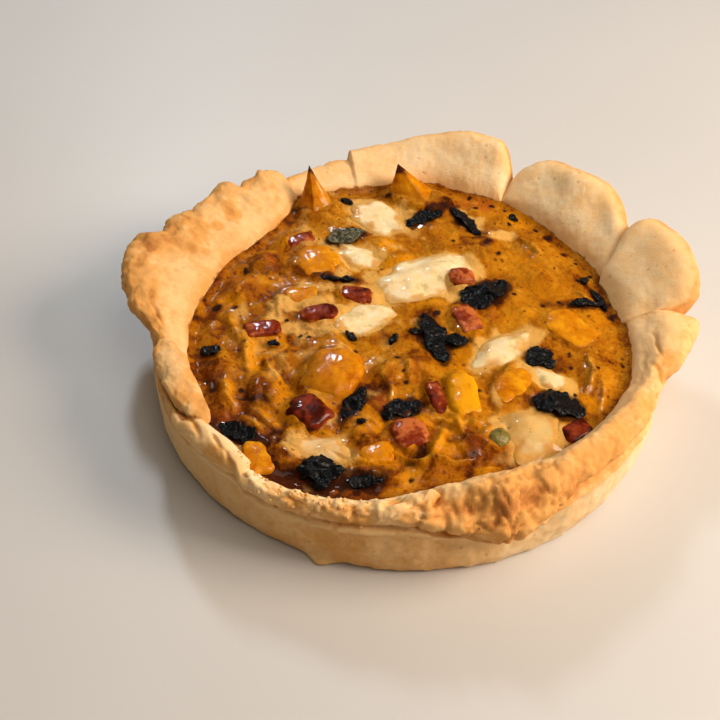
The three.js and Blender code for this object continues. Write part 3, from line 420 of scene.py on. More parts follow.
# ---- closed surfaces ----
def normals(rings):
    """Unit normals of rings (..., ring, point, 3): the cross of the ways along and across them."""
    along = np.roll(rings, -1, axis=-2) - np.roll(rings, 1, axis=-2)
    n = np.cross(along, np.gradient(rings, axis=-3))
    return n / np.maximum(np.linalg.norm(n, axis=-1, keepdims=True), 1e-9)


def ring_faces(copies, rows, n):
    """Faces of closed shells: rings joined each to the next, the first and last closed on their middles."""
    grid = np.arange(rows * n).reshape(rows, n)
    beside = np.roll(grid, -1, axis=1)
    quads = np.stack([grid[:-1], beside[:-1], beside[1:], grid[1:]], -1).reshape(-1, 4)
    first, last = np.full(n, rows * n), np.full(n, rows * n + 1)
    ends = np.concatenate([
        np.stack([first, beside[0], grid[0]], -1),
        np.stack([last, grid[-1], beside[-1]], -1),
    ])
    start = np.arange(copies)[:, None, None] * (rows * n + 2)
    return (quads + start).reshape(-1, 4), (ends + start).reshape(-1, 3)


def skin(name, shells, slot, nodes, material, **marks):
    """One piece made of closed shells, arrays (copies, rings, points, 3) in millimetres. Each mark is a list
    of arrays (copies, rings, points) that becomes a point attribute for the material."""
    low, high = (np.array(corner) / MM for corner in CAD_BOX)
    points, faces, start = [], [], 0
    values = {key: [] for key in marks}
    for which, rings in enumerate(shells):
        copies, rows, n = rings.shape[:3]

        def with_ends(grid):
            """The grid's points with each shell's two end middles after them."""
            ends = np.stack([grid[:, 0].mean(axis=1), grid[:, -1].mean(axis=1)], axis=1)
            flat = grid.reshape(copies, rows * n, *grid.shape[3:])
            return np.concatenate([flat, ends], axis=1).reshape(-1, *grid.shape[3:])

        points.append(np.clip(with_ends(rings), low, high))
        for key, grids in marks.items():
            values[key].append(with_ends(grids[which]))
        quads, ends = ring_faces(copies, rows, n)
        faces += (quads + start).tolist() + (ends + start).tolist()
        start += len(points[-1])
    mesh = bpy.data.meshes.new(name)
    mesh.from_pydata(np.concatenate(points) * MM, [], faces)
    mesh.polygons.foreach_set("use_smooth", np.ones(len(mesh.polygons), bool))
    for key, parts in values.items():
        mesh.attributes.new(key, "FLOAT", "POINT").data.foreach_set("value", np.concatenate(parts))
    mesh.materials.append(material)
    mesh.update()
    piece = bpy.data.objects.new(name, mesh)
    bpy.context.scene.collection.objects.link(piece)
    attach(piece, "root")
    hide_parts(*nodes)


def lone_skin(name, rings, slot, node, material, **marks):
    """A piece made of one closed shell (rings, points, 3)."""
    skin(name, [rings[None]], slot, [node], material, **{key: [value[None]] for key, value in marks.items()})


# ---- materials ----
def feed(tree, node, values):
    """Sets a node's inputs, named or numbered, or links them where the value is a socket."""
    for key, value in dict(values).items():
        if isinstance(value, bpy.types.NodeSocket):
            tree.links.new(value, node.inputs[key])
        else:
            node.inputs[key].default_value = value


def put(tree, kind, values=(), **settings):
    """Adds a node with its settings and inputs."""
    made = tree.nodes.new(kind)
    for key, value in settings.items():
        setattr(made, key, value)
    feed(tree, made, values)
    return made


def place(tree):
    return put(tree, "ShaderNodeTexCoord").outputs["Object"]


def mark(tree, name):
    return put(tree, "ShaderNodeAttribute", attribute_name=name).outputs["Fac"]


def grain(tree, at, size, detail=4.0, rough=0.55, warp=0.0):
    """Noise whose coarsest blotches are size millimetres across, 0 to 1."""
    values = {"Vector": at, "Scale": 1 / (size * MM), "Detail": detail, "Roughness": rough, "Distortion": warp}
    return put(tree, "ShaderNodeTexNoise", values).outputs["Fac"]


def calc(tree, operation, a, b=0.0):
    return put(tree, "ShaderNodeMath", {0: a, 1: b}, operation=operation).outputs[0]


def plus(tree, a, b):
    return calc(tree, "ADD", a, b)


def times(tree, a, b):
    return calc(tree, "MULTIPLY", a, b)


def stir(tree, value, by, amount):
    """The value, moved up and down by a noise whose middle is 0.5."""
    return plus(tree, value, times(tree, plus(tree, by, -0.5), amount))


def span(tree, value, low, high, to_low=0.0, to_high=1.0):
    """Carries low..high smoothly to to_low..to_high."""
    values = {"Value": value, "From Min": low, "From Max": high, "To Min": to_low, "To Max": to_high}
    return put(tree, "ShaderNodeMapRange", values, interpolation_type="SMOOTHSTEP").outputs[0]


def blend(tree, share, colour, other):
    """Carries a colour to another one, which is a socket or three numbers."""
    other = other if isinstance(other, bpy.types.NodeSocket) else (*other, 1.0)
    return put(tree, "ShaderNodeMix", {0: share, 6: colour, 7: other}, data_type="RGBA").outputs[2]


def ramp(tree, share, stops):
    """A colour that goes smoothly through (place, colour) stops."""
    node = put(tree, "ShaderNodeValToRGB", {"Fac": share})
    bar = node.color_ramp
    bar.interpolation = "EASE"
    while len(bar.elements) < len(stops):
        bar.elements.new(0.5)
    for element, (at, colour) in zip(bar.elements, stops):
        element.position = at
        element.color = (*colour, 1.0)
    return node.outputs["Color"]


def group(name, inputs, outputs, build):
    """A shader node group. inputs maps names to numbers; build(tree, sockets) gives the outputs in order."""
    tree = bpy.data.node_groups.new(name, "ShaderNodeTree")
    for key, value in inputs.items():
        socket = tree.interface.new_socket(key, in_out="INPUT", socket_type="NodeSocketFloat")
        socket.default_value = value
    for key, kind in outputs.items():
        tree.interface.new_socket(key, in_out="OUTPUT", socket_type=kind)
    given = put(tree, "NodeGroupInput")
    made = build(tree, {key: given.outputs[key] for key in inputs})
    put(tree, "NodeGroupOutput", dict(enumerate(made)))
    return tree


def use(tree, made_group, values):
    return put(tree, "ShaderNodeGroup", values, node_tree=made_group).outputs[0]


def build_specks(tree, given):
    """Round dark specks: in each cell of a Voronoi pattern a draw decides if it holds one, and how wide."""
    at = place(tree)
    wavy = put(tree, "ShaderNodeTexNoise", {"Vector": at, "Scale": 900.0, "Detail": 2.0}).outputs["Color"]
    wavy = put(tree, "ShaderNodeVectorMath", {0: wavy, "Scale": 0.9 * MM}, operation="SCALE").outputs[0]
    warped = put(tree, "ShaderNodeVectorMath", {0: at, 1: wavy}, operation="ADD").outputs[0]
    cell = put(tree, "ShaderNodeTexVoronoi", {
        "Vector": warped, "Scale": calc(tree, "DIVIDE", 1 / MM, given["Size"]), "Randomness": 1.0,
    }).outputs
    draws = put(tree, "ShaderNodeSeparateColor", {0: cell["Color"]}).outputs
    wide = times(tree, given["Width"], plus(tree, draws[1], 0.35))
    disc = calc(tree, "SUBTRACT", 1.0, calc(tree, "DIVIDE", cell["Distance"], wide))
    held = calc(tree, "LESS_THAN", draws[0], given["Amount"])
    return [times(tree, span(tree, disc, 0.0, 0.55), held)]


SPECKS = group("specks", {"Size": 1.5, "Width": 0.3, "Amount": 0.3}, {"Mask": "NodeSocketFloat"}, build_specks)


def build_custard(tree, given):
    """Baked custard: gold to brown by Brown, paler by Cream, yellow by Gold, red-brown by Rust, nearly black
    by Burnt, broken up by blotches of three sizes and by specks."""
    at = place(tree)
    blotch = grain(tree, at, 5.0, 3.0, 0.55, 0.6)
    middle = grain(tree, at, 1.9, 3.0, 0.6, 1.0)
    fine = grain(tree, at, 0.7, 4.0, 0.65, 0.4)
    brown = plus(tree, given["Brown"], span(tree, blotch, 0.32, 0.68, -0.12, 0.12))
    brown = plus(tree, brown, span(tree, middle, 0.3, 0.7, -0.11, 0.13))
    brown = plus(tree, brown, span(tree, fine, 0.32, 0.7, -0.08, 0.1))
    colour = ramp(tree, brown, [
        (0.0, (0.66, 0.29, 0.028)), (0.28, (0.42, 0.158, 0.006)), (0.5, (0.33, 0.1, 0.002)),
        (0.74, (0.17, 0.038, 0.002)), (1.0, (0.05, 0.01, 0.002)),
    ])
    gold = times(tree, given["Gold"], span(tree, fine, 0.25, 0.55, 0.45, 1.0))
    colour = blend(tree, times(tree, gold, 0.85), colour, (0.74, 0.27, 0.003))
    rust = times(tree, given["Rust"], span(tree, fine, 0.3, 0.6, 0.3, 1.0))
    colour = blend(tree, times(tree, rust, 0.75), colour, (0.42, 0.085, 0.012))
    cream = span(tree, plus(tree, given["Cream"], times(tree, fine, 0.4)), 0.3, 0.95)
    colour = blend(tree, times(tree, cream, 0.85), colour, (0.72, 0.4, 0.1))
    few = times(tree, given["Specks"], plus(tree, times(tree, cream, -0.8), 1.0))
    speck = use(tree, SPECKS, {"Size": 1.5, "Width": 0.3, "Amount": few})
    small = use(tree, SPECKS, {"Size": 0.7, "Width": 0.36, "Amount": few})
    dots = calc(tree, "MAXIMUM", speck, times(tree, small, 0.75))
    colour = blend(tree, times(tree, dots, 0.75), colour, (0.12, 0.022, 0.005))
    burnt = span(tree, plus(tree, given["Burnt"], times(tree, fine, 0.35)), 0.3, 0.95)
    colour = blend(tree, burnt, colour, (0.03, 0.009, 0.005))
    return [colour]


CUSTARD_MARKS = {"Brown": 0.35, "Gold": 0.0, "Cream": 0.0, "Rust": 0.0, "Burnt": 0.0, "Specks": 0.2}
CUSTARD = group("custard_colour", CUSTARD_MARKS, {"Color": "NodeSocketColor"}, build_custard)


def material(name):
    made = bpy.data.materials.new(name)
    made.use_nodes = True
    tree = made.node_tree
    tree.nodes.clear()
    shader = put(tree, "ShaderNodeBsdfPrincipled")
    put(tree, "ShaderNodeOutputMaterial", {0: shader.outputs[0]})
    return made, tree, shader


def finish_with(tree, shader, **values):
    """Sets or links the shader's sockets, whose names have underscores for spaces here."""
    feed(tree, shader, {key.replace("_", " "): value for key, value in values.items()})


def bump(tree, height, deep, strength=1.0):
    """A normal from a height of 0 to 1 that stands for deep millimetres."""
    values = {"Height": height, "Distance": deep * MM, "Strength": strength}
    return put(tree, "ShaderNodeBump", values).outputs[0]


def crust_material():
    """Shortcrust: pale cream to brown by the bake mark, the dough's bake with painted shade in its hollows,
    mottled, with fat specks, flour and custard stains.
    """
    made, tree, shader = material("shortcrust")
    at = place(tree)
    patchy = grain(tree, at, 6.0, 4.0, 0.6)
    fine = grain(tree, at, 1.2, 5.0, 0.65)
    dust = grain(tree, at, 0.35, 3.0, 0.6)
    bake = stir(tree, mark(tree, "bake"), patchy, 0.45)
    bake = stir(tree, bake, fine, 0.24)
    colour = ramp(tree, bake, [
        (0.0, (0.93, 0.72, 0.43)), (0.28, (0.88, 0.54, 0.225)), (0.52, (0.74, 0.345, 0.08)),
        (0.78, (0.47, 0.165, 0.024)), (1.0, (0.22, 0.06, 0.01)),
    ])
    fat = use(tree, SPECKS, {"Size": 1.7, "Width": 0.3, "Amount": 0.16})
    colour = blend(tree, times(tree, fat, 0.45), colour, (0.5, 0.23, 0.06))
    floury = span(tree, dust, 0.52, 0.75)
    colour = blend(tree, times(tree, floury, 0.1), colour, (0.88, 0.72, 0.5))
    stain = stir(tree, mark(tree, "stain"), fine, 0.5)
    colour = blend(tree, span(tree, stain, 0.15, 0.6), colour, (0.34, 0.115, 0.008))
    colour = blend(tree, span(tree, stain, 0.6, 1.1), colour, (0.1, 0.028, 0.008))
    height = plus(tree, times(tree, fine, 0.6), times(tree, dust, 0.4))
    wet = span(tree, mark(tree, "stain"), 0.3, 0.8)
    finish_with(
        tree, shader, Base_Color=colour, Roughness=plus(tree, times(tree, wet, -0.35), 0.72),
        Normal=bump(tree, height, 0.28, 0.6), Subsurface_Weight=0.1, Subsurface_Scale=0.002,
        Subsurface_Radius=(1.0, 0.5, 0.25), Specular_IOR_Level=0.3,
    )
    return made


def custard_material():
    """The filling's skin: the custard colours by its marks, wet and wrinkled, with a coat of juice and fat."""
    made, tree, shader = material("custard")
    at = place(tree)
    colour = use(tree, CUSTARD, {key: mark(tree, key.lower()) for key in CUSTARD_MARKS})
    fine = grain(tree, at, 0.6, 3.0, 0.6)
    coarse = grain(tree, at, 2.2, 3.0, 0.6, 0.8)
    shine = mark(tree, "shine")
    height = plus(tree, times(tree, fine, 0.3), times(tree, coarse, 0.7))
    wet = stir(tree, mark(tree, "wet"), coarse, 1.2)
    wet = plus(tree, span(tree, wet, 0.6, 1.0, 0.0, 0.3), times(tree, shine, 1.0))
    finish_with(
        tree, shader, Base_Color=colour, Roughness=0.5, Normal=bump(tree, height, 0.6, 0.85),
        Subsurface_Weight=0.06, Subsurface_Scale=0.0015, Subsurface_Radius=(1.0, 0.3, 0.05),
        Specular_IOR_Level=0.02, Coat_Weight=wet, Coat_Roughness=0.05, Coat_IOR=1.5,
    )
    return made


def morsel_material(name, colours, film, coat, scatter, deep=0.25, grain_size=1.4):
    """A soft piece: its own colour by blotches, browned specks, and the custard's film at its lower edge,
    whose mark also carries painted shade on one side. The colours are the darkest, a middle one with its
    place, and the palest. One that scatters much is pale."""
    made, tree, shader = material(name)
    at = place(tree)
    blotch = grain(tree, at, 3.2, 4.0, 0.6)
    fine = grain(tree, at, grain_size, 4.0, 0.6)
    dark, (middle_at, middle), light = colours
    tone = plus(tree, times(tree, blotch, 0.65), times(tree, fine, 0.35))
    tone = plus(tree, span(tree, tone, 0.3, 0.7), mark(tree, "tone"))
    colour = ramp(tree, tone, [(0.0, dark), (middle_at, middle), (1.0, light)])
    pale = scatter > 0.2
    brown, cream, ragged, low, high = (0.22, 0.45, 0.5, 0.1, 1.0) if pale else (0.42, 0.0, 0.8, 0.25, 0.95)
    custard = use(tree, CUSTARD, {"Brown": brown, "Gold": 0.3, "Cream": cream, "Specks": 0.2})
    edge = stir(tree, mark(tree, "film"), fine, ragged)
    colour = blend(tree, span(tree, edge, low, high, 0.0, film), colour, custard)
    char = plus(tree, mark(tree, "char"), times(tree, fine, 0.3))
    colour = blend(tree, span(tree, char, 0.3, 0.9), colour, (0.07, 0.014, 0.005))
    finish_with(
        tree, shader, Base_Color=colour, Roughness=span(tree, blotch, 0.35, 0.65, 0.3, 0.5),
        Normal=bump(tree, fine, deep, 0.8), Subsurface_Weight=scatter, Subsurface_Scale=0.003,
        Subsurface_Radius=(1.0, 0.5, 0.2), Specular_IOR_Level=0.05, Coat_Roughness=0.06,
        Coat_Weight=span(tree, blotch, 0.38, 0.62, 0.2 * coat, coat),
    )
    return made


def leaf_material(name, dark, pale):
    """Burnt leaf: nearly black, with a bluish sheen of fat in its crinkles and brown dust on its ridges."""
    made, tree, shader = material(name)
    at = place(tree)
    fine = grain(tree, at, 0.9, 5.0, 0.65, 0.3)
    colour = ramp(tree, span(tree, fine, 0.35, 0.75), [(0.0, dark), (1.0, pale)])
    finish_with(
        tree, shader, Base_Color=colour, Roughness=span(tree, fine, 0.3, 0.7, 0.25, 0.5),
        Normal=bump(tree, fine, 0.4, 0.9), Specular_IOR_Level=0.05, Coat_Weight=0.16, Coat_Roughness=0.2,
    )
    return made


CRUST = crust_material()
SKIN = custard_material()
CHEESE = morsel_material(
    "cheese", [(0.58, 0.44, 0.19), (0.4, (0.85, 0.63, 0.33)), (0.9, 0.74, 0.48)], 0.9, 0.5, 0.3, 0.16, 2.4)
SQUASH = morsel_material(
    "squash", [(0.4, 0.1, 0.001), (0.5, (0.6, 0.2, 0.001)), (0.8, 0.33, 0.002)], 0.8, 0.34, 0.05, 0.2)
HAM = morsel_material(
    "ham", [(0.045, 0.004, 0.001), (0.5, (0.2, 0.022, 0.004)), (0.52, 0.13, 0.03)], 0.8, 0.4, 0.05, 0.2)
CAPER = morsel_material(
    "caper", [(0.08, 0.06, 0.012), (0.6, (0.2, 0.15, 0.03)), (0.36, 0.27, 0.08)], 0.5, 0.8, 0.1)
LEAF = leaf_material("burnt_leaf", (0.0015, 0.0016, 0.002), (0.006, 0.006, 0.0065))
GREEN_LEAF = leaf_material("wilted_leaf", (0.03, 0.035, 0.02), (0.24, 0.21, 0.12))


# ---- the case ----
def rim_at(deg):
    """The rim's measures at angles: each stretch's values, weighted by how far it has taken over."""
    keys = RIM_KEYS[2:9]
    total = {key: np.zeros_like(deg) for key in keys}
    weights = np.zeros_like(deg)
    for stretch, after in zip(RIM, RIM[1:] + RIM[:1]):
        length = (after["from"] - stretch["from"]) % 360
        past = wrap(deg - stretch["from"] - length / 2) + length / 2
        left = length - past
        weight = ease(past / stretch["soft"] + 0.5) * ease(left / after["soft"] + 0.5)
        t = clamp01(past / length)

        def rounded(value, key):
            """A quarter circle lifts the rim out of the cut at a rounded end."""
            for distance, radius, cut in zip((past, left), stretch["round"], (stretch, after)):
                if radius:
                    low = cut["cut"][key] if "cut" in cut else value * 0.5
                    value = lerp(low, value, np.sqrt(1 - (1 - clamp01(distance / radius)) ** 2))
            return value

        values = {key: through(stretch[key], t) for key in keys[:4]} | {key: stretch[key] for key in keys[4:]}
        values["reach"] = rounded(values["reach"] + around(EDGE, deg), "reach")
        values["height"] = rounded(values["height"], "height")
        for key in keys:
            total[key] += weight * values[key]
        weights += weight
    return {key: value / weights for key, value in total.items()}


def section_at(deg):
    """The case's section at angles, (points, angles, 2) as radius and height, from its floor over the rim to
    its foot, by the rules of its solid."""
    rim = rim_at(deg)
    inner, reach, height, thick = rim["inner"], rim["reach"], rim["height"], rim["thick"]
    crest = rim["crest"] * reach
    crest_r, crest_z = inner + crest, FILL + height
    tip_r, tip_z = inner + reach, FILL + height - rim["droop"]
    under_z = tip_z - 0.95 * thick
    join_z = np.minimum(WALL_TOP_Z, under_z - 1.6)
    off = sum(by * facing(deg, towards, half) for towards, half, by in OFF_ROUND)
    wall_r = WALL_TOP_R + off
    lip = LIP["reach"] * facing(deg, LIP["at"], LIP["half"])
    foot = FOOT_R + off + lip
    flat = np.zeros_like(deg)
    points = [
        (flat + 0.9 * FLOOR_R, flat + FLOOR),
        (flat + FLOOR_R, flat + FLOOR + 2.4),
        (lerp(FLOOR_R, inner, 0.6), flat + lerp(FLOOR, FILL, 0.6)),
        (inner, flat + FILL - 1),
        (inner + 0.12 * crest, FILL + 0.22 * height),
        (inner + 0.5 * crest, FILL + 0.64 * height),
        (crest_r, crest_z),
        (lerp(crest_r, tip_r, 0.7), lerp(crest_z, tip_z, 0.6) - 0.04 * thick),
        (tip_r, tip_z - 0.34 * thick),
        (tip_r - 0.22 * thick, under_z),
        (wall_r + 0.34 * np.maximum(0, tip_r - wall_r), lerp(under_z, join_z, 0.55)),
        (wall_r, join_z),
        (WALL_FOOT_R + off + 0.3 * lip, flat + LIP["height"] + 0.6),
        (foot + 0.8, flat + 0.4 * LIP["height"]),
        (foot, flat),
    ]
    return np.array(points).transpose(0, 2, 1), rim


def smooth_path(points, counts):
    """The smooth curve through unevenly spaced points (points, columns, 2): cubic stretches that share their
    slopes where they meet, cut into counts steps each. Also gives each row's place, counted in points."""
    steps = np.maximum(np.linalg.norm(np.diff(points, axis=0), axis=-1, keepdims=True), 1e-6)
    slopes = np.diff(points, axis=0) / steps
    inside = (slopes[:-1] * steps[1:] + slopes[1:] * steps[:-1]) / (steps[1:] + steps[:-1])
    slopes = np.concatenate([slopes[:1], inside, slopes[-1:]])
    rows, places = [], []
    for k, count in enumerate(counts):
        for u in np.arange(count) / count:
            square, cube = u * u, u**3
            rows.append(
                (2 * cube - 3 * square + 1) * points[k] + (cube - 2 * square + u) * steps[k] * slopes[k]
                + (3 * square - 2 * cube) * points[k + 1] + (cube - square) * steps[k] * slopes[k + 1]
            )
            places.append(k + u)
    return np.array(rows + [points[-1]]), np.array(places + [len(counts)])


SECTIONS = 900  # round the case
# Rows between one point of the section and the next: closer together where they show. The points count from 0:
# 3 is the filling's edge, 6 the rim's crest, 8 its tip, 9 under the tip, 11 the wall's top, 14 the foot.
SECTION_ROWS = [1, 1, 2, 7, 11, 13, 10, 7, 8, 7, 7, 22, 4, 2]
# Stretches of places on the section: from, eased in over, to, eased out over.
ON_RIM = (4.2, 1.2, 11.2, 1.4)
SHOWING = (3.2, 0.8, 13.6, 0.6)
# Stretches of the rim with a look of their own, in degrees: from, eased in over, to, eased out over.
FLAP = (126, 10, 204, 10)
PETALS = (2, 10, 116, 8)
ROLL = (262, 16, 330, 18)
SPLIT = (203, 6, 225, 3)
TORN = (238, 4, 280, 6)
# How craggy the dough is round the case: degrees, and the share of a full crag.
CRAGS = [
    (0, 0.25), (8, 0.12), (50, 0.1), (85, 0.1), (118, 0.2), (134, 0.5), (150, 0.45), (170, 0.6), (182, 0.4),
    (193, 0.2), (207, 0.2), (235, 0.3), (255, 0.4), (274, 0.3), (281, 0.6), (292, 0.85), (303, 0.7),
    (309, 0.3), (326, 0.2), (343, 0.35),
]
# Creases in the dough of the rim: x and y of both ends, half width, depth.
CREASES = [
    (5, -44.6, 8.4, -46.4, 0.7, 0.9), (8.4, -46.4, 8, -50, 0.7, 0.9), (18, -45.4, 20.6, -49, 0.6, 0.7),
    (2.4, -48.8, -1.2, -50.6, 0.8, 0.9), (-41.4, -16.4, -45.4, -19.4, 0.7, 0.9),
    (-38, 30.4, -41, 33, 0.7, 0.5), (-33, -38, -31, -41.6, 0.7, 0.7), (-37, -34.6, -35, -39, 0.6, 0.6),
    (48.6, -11, 51.6, -16, 0.7, 0.5), (-47.6, 17.6, -50, 18.6, 0.6, 0.5), (46.6, -3, 47.6, -12, 0.7, 0.6),
    (49.4, -2, 50.6, -9, 0.6, 0.5), (-30, -42, -27.6, -45.4, 0.6, 0.6), (-49.6, -8, -47, -12, 0.5, 0.6),
]
# Finger-like swellings of the flap's outer edge: degrees, half width in degrees, height.
FINGERS = [(145, 4, 0.6), (153, 3, 0.3), (161, 3, 0.4), (169.4, 3.4, 0.6), (176, 2.6, 0.3), (134, 3.4, 0.4)]
# How pebbly the rim is: degrees, share.
PEBBLES = [
    (0, 0.16), (12, 0.1), (60, 0.08), (112, 0.1), (130, 0.2), (150, 0.24), (175, 0.26), (192, 0.3),
    (215, 0.2), (236, 0.3), (262, 0.35), (276, 0.35), (300, 0.4), (314, 0.35), (330, 0.3), (345, 0.26),
]
# Darker baked places on the rim: x, y, length, width, turn, strength.
BAKED_PATCHES = [
    (12, -49.4, 7, 4, 10, 0.3), (20, -48.6, 6, 4, 20, 0.3), (3, -48, 6, 4, 0, 0.3), (26, -45, 5, 4, 30, 0.3),
    (16, -51.6, 7, 3, 10, 0.35), (-52, 10, 6, 5, 60, 0.5), (-46.4, 25.6, 7, 5, 50, 0.45),
    (-49, -12, 6, 5, 0, 0.4), (-41, 34, 5, 4, 0, 0.4), (-32, -42.4, 6, 3, -40, 0.4),
    (-14, -49.6, 9, 2.4, -12, 0.4), (34, -41, 8, 4, 40, 0.3), (51, -9, 6, 4, 60, 0.35),
    (-44.6, -18.4, 6, 4, 40, 0.35), (-47.2, 17.3, 5, 4, 52, 0.7), (-44.6, 14.6, 7, 3.6, 90, 0.55),
    (-50.3, 15, 4, 4, 60, 0.6), (-43.8, 10, 5, 3.4, 10, 0.45), (-39, 22.6, 4, 5, 20, 0.7),
    (-53.4, 7.4, 4, 4, 70, 0.8), (-54, 3.6, 5, 2.4, 90, 0.5), (-41, 18, 3, 2, 20, 0.7),
    (-38.6, 33.4, 4, 1.6, 40, 0.6), (-50.6, -5, 6, 2, 100, 0.6),
]
# The bake of the rim and of the wall round the case: degrees, from 0 for pale to 1 for brown. The wall's paler
# right side is partly painted light, where the warm side light falls on it.
RIM_BAKE = [
    (0, 0.3), (14, 0.26), (50, 0.22), (85, 0.2), (118, 0.3), (134, 0.46), (150, 0.44), (172, 0.48),
    (190, 0.44), (205, 0.4), (225, 0.24), (238, 0.24), (250, 0.3), (268, 0.34), (280, 0.38), (293, 0.5),
    (306, 0.46), (322, 0.42), (340, 0.34),
]
WALL_BAKE_AND_PAINTED_LIGHT = [
    (0, 0.08), (60, 0.3), (120, 0.3), (180, 0.26), (215, 0.24), (240, 0.36), (258, 0.42), (275, 0.42),
    (300, 0.18), (330, 0.06),
]


def rim_angles():
    """Angles of the sections: even, and three times as close beside the sharp ends of the flaps."""
    fine = np.linspace(0, 360, 7200, endpoint=False)
    sharp = [stretch["from"] for stretch in RIM if stretch["soft"] < 1.5]
    near = np.max([facing(fine, at, 3) for at in sharp], axis=0)
    pace = np.cumsum(1 + 2 * near)
    return np.interp((np.arange(SECTIONS) + 0.5) / SECTIONS * pace[-1], pace, fine)


def case_grid():
    """The case without its strap: sections round it, joined in rings, with crags, crumb and cracks in its
    dough. Also gives the marks that colour it, the sections' angles and the rings' places on the section."""
    deg = rim_angles()
    points, rim = section_at(deg)
    rows, places = smooth_path(points, SECTION_ROWS)
    rows, places = rows[::-1], places[::-1]
    r, z, row = rows[..., 0], rows[..., 1], places[:, None]
    on_rim, showing = between(row, *ON_RIM), between(row, *SHOWING)
    turned = (deg + around(LEAN, deg) * clamp01((z - FILL) / LEAN_HEIGHT)) * RAD
    c, s = np.cos(turned), np.sin(turned)
    crag = on_rim * rim["rough"] * noise(r * c / 5, r * s / 5, z / 5)
    r, z = r + crag, z + 0.7 * crag
    rings = np.stack([r * c, r * s, z], -1)
    n = normals(rings)

    # A craggy crumb on the rim's outer side, and weaker all over the roll at the front.
    outer = np.maximum(ease((row - 5.6) / 1.6), 0.45 * between(deg, *ROLL))
    roll = ease((deg - 268) / 8) * (0.25 + 0.75 * ease((312 - deg) / 10)) * ease((330 - deg) / 10)
    roll = roll * between(row, 5, 1.4, 10, 1)
    crumbly = around(CRAGS, deg) * on_rim * outer * (1 - 0.8 * roll)
    relief = fbm(rings, 4.0, 3) * (0.1 + 0.14 * rim["rough"]) * showing
    lumps = 0.6 * domes(pushed(rings, 1.1, 3.0, 3), 3.6) + 0.4 * domes(pushed(rings, 0.4, 1.0, 2), 1.8, 5.0)
    pits = 1 - ease((cells(rings, 3.0, 8.0)[0] - 0.12) / 0.14)
    relief = relief + crumbly * (1.6 * lumps - 0.8 + 0.4 * fbm(rings, 1.2, 3, 0.6, 7.0) - 0.6 * pits)

    # Knobs on the roll, each with its own height, between crevices.
    bent = np.stack([fbm(rings, 3.0, 3, 0.55, 40.0 + k) for k in range(3)], -1)
    near, second, draw = cells(rings + 1.1 * bent, 4.4, 11.0)
    crevice = 1 - ease((second - near) / 0.2)
    knobs = 1.1 * (clamp01(1 - 1.2 * near**2) - 0.5) + 0.9 * (draw - 0.5) - 0.45 * crevice
    relief = relief + roll * (knobs + 0.16 * fbm(rings, 1.0, 3, 0.7, 14.0))

    # Pebbles round the rim, the flap's and the torn edge's own unevenness, and a fine grain all over.
    fine_knobs = domes(pushed(rings, 0.3, 0.8, 2), 1.5, 6.0)
    pebbles = 0.6 * (domes(pushed(rings, 0.5, 1.2, 2), 2.4, 3.0) - 0.6) + 0.5 * (fine_knobs - 0.6)
    pebbly = around(PEBBLES, deg) * between(row, 4.2, 0.8, 10.2, 1.2)
    relief = relief + pebbly * (pebbles + 0.25 * fbm(rings, 1.0, 2, 0.6, 7.0))
    flap = between(deg, *FLAP) * between(row, 4.4, 0.6, 10, 1)
    torn = between(deg, *TORN) * between(row, 4.4, 0.6, 8.2, 1)
    relief = relief + flap * (0.2 * fbm(rings, 1.4, 3, 0.65, 33.0) + 0.25 * fbm(rings, 3.4, 2, 0.5, 36.0))
    relief = relief + torn * (0.45 * fbm(rings, 1.5, 3, 0.7, 9.0) + 0.3 * fbm(rings, 4.0, 2, 0.5, 19.0))
    relief = relief + 0.07 * fbm(rings, 0.9, 2, 0.6, 3.0) * showing * (0.6 + 1.6 * clamp01(crumbly))
    relief = relief + ease((row - 10.6) / 0.8) * showing * 0.14 * fbm(rings, 1.6, 3, 0.6, 3.0)

    x, y = rings[..., 0], rings[..., 1]
    over = on_rim * (rings[..., 2] > FILL)
    crease = np.zeros_like(x)
    for cut, deep in drawn_lines(x, y, CREASES, 0.5, 2, 1.0, 0.4, 0.6):
        crease = np.maximum(crease, cut)
        relief = relief - deep * cut * over
    for at_deg, half_deg, high in FINGERS:
        lobe = np.cos(clamp01(np.abs(wrap(deg - at_deg)) / half_deg) * math.pi / 2)
        relief = relief + high * lobe * between(row, 5.2, 1, 9.6, 1)
    rings = rings + relief[..., None] * n
    rings[..., 2] = np.maximum(rings[..., 2], 0)
    rings[0, :, 2] = 0

    # Painted light in part: the wall is paler towards its right, where the warm side light falls.
    bake = lerp(around(WALL_BAKE_AND_PAINTED_LIGHT, deg), around(RIM_BAKE, deg), ease((11.4 - row) / 1.6))
    uneven = 1 + 0.8 * noise(rings[..., 0] / 4, rings[..., 1] / 4, 2.2)
    bake = bake + 0.12 * between(row, 5.8, 1.2, 10, 1.5) * uneven - 0.1 * between(row, 3.9, 0.5, 6.2, 1.2)
    # Painted shade: the dough is made browner between its lumps, in its pits and creases, in the roll's
    # crevices and between its pebbles.
    bake = bake + crumbly * (0.4 * (0.6 - lumps) + 0.3 * pits) + 0.2 * crease * over
    bake = bake + roll * (0.12 * crevice + 0.06 * (draw - 0.8)) + 0.1 * pebbly * (0.6 - fine_knobs)
    petals = between(deg, *PETALS) * (0.5 + 0.5 * noise(deg / 9, 0 * deg, 4.4))
    bake = bake + 0.3 * petals * between(row, 5.8, 1.6, 9.6, 1.6)
    bake = bake + 0.36 * patches(x, y, BAKED_PATCHES, 0.6, 2.6) * over
    bake = bake - 0.14 * torn + 0.3 * torn * clamp01(-fbm(rings, 1.5, 3, 0.7, 9.0))
    level = FILL + 0.75 + 0.6 * fbm(rings, 3.0, 3, 0.6, 6.6)
    stain = 0.58 * ease((level - rings[..., 2]) / 0.6) * ease((4.9 - row) / 0.3)
    stain = np.maximum(stain, 0.8 * between(deg, *SPLIT) * between(row, 3.4, 0.6, 7.2, 1.2))
    return (rings, bake, stain), deg, places


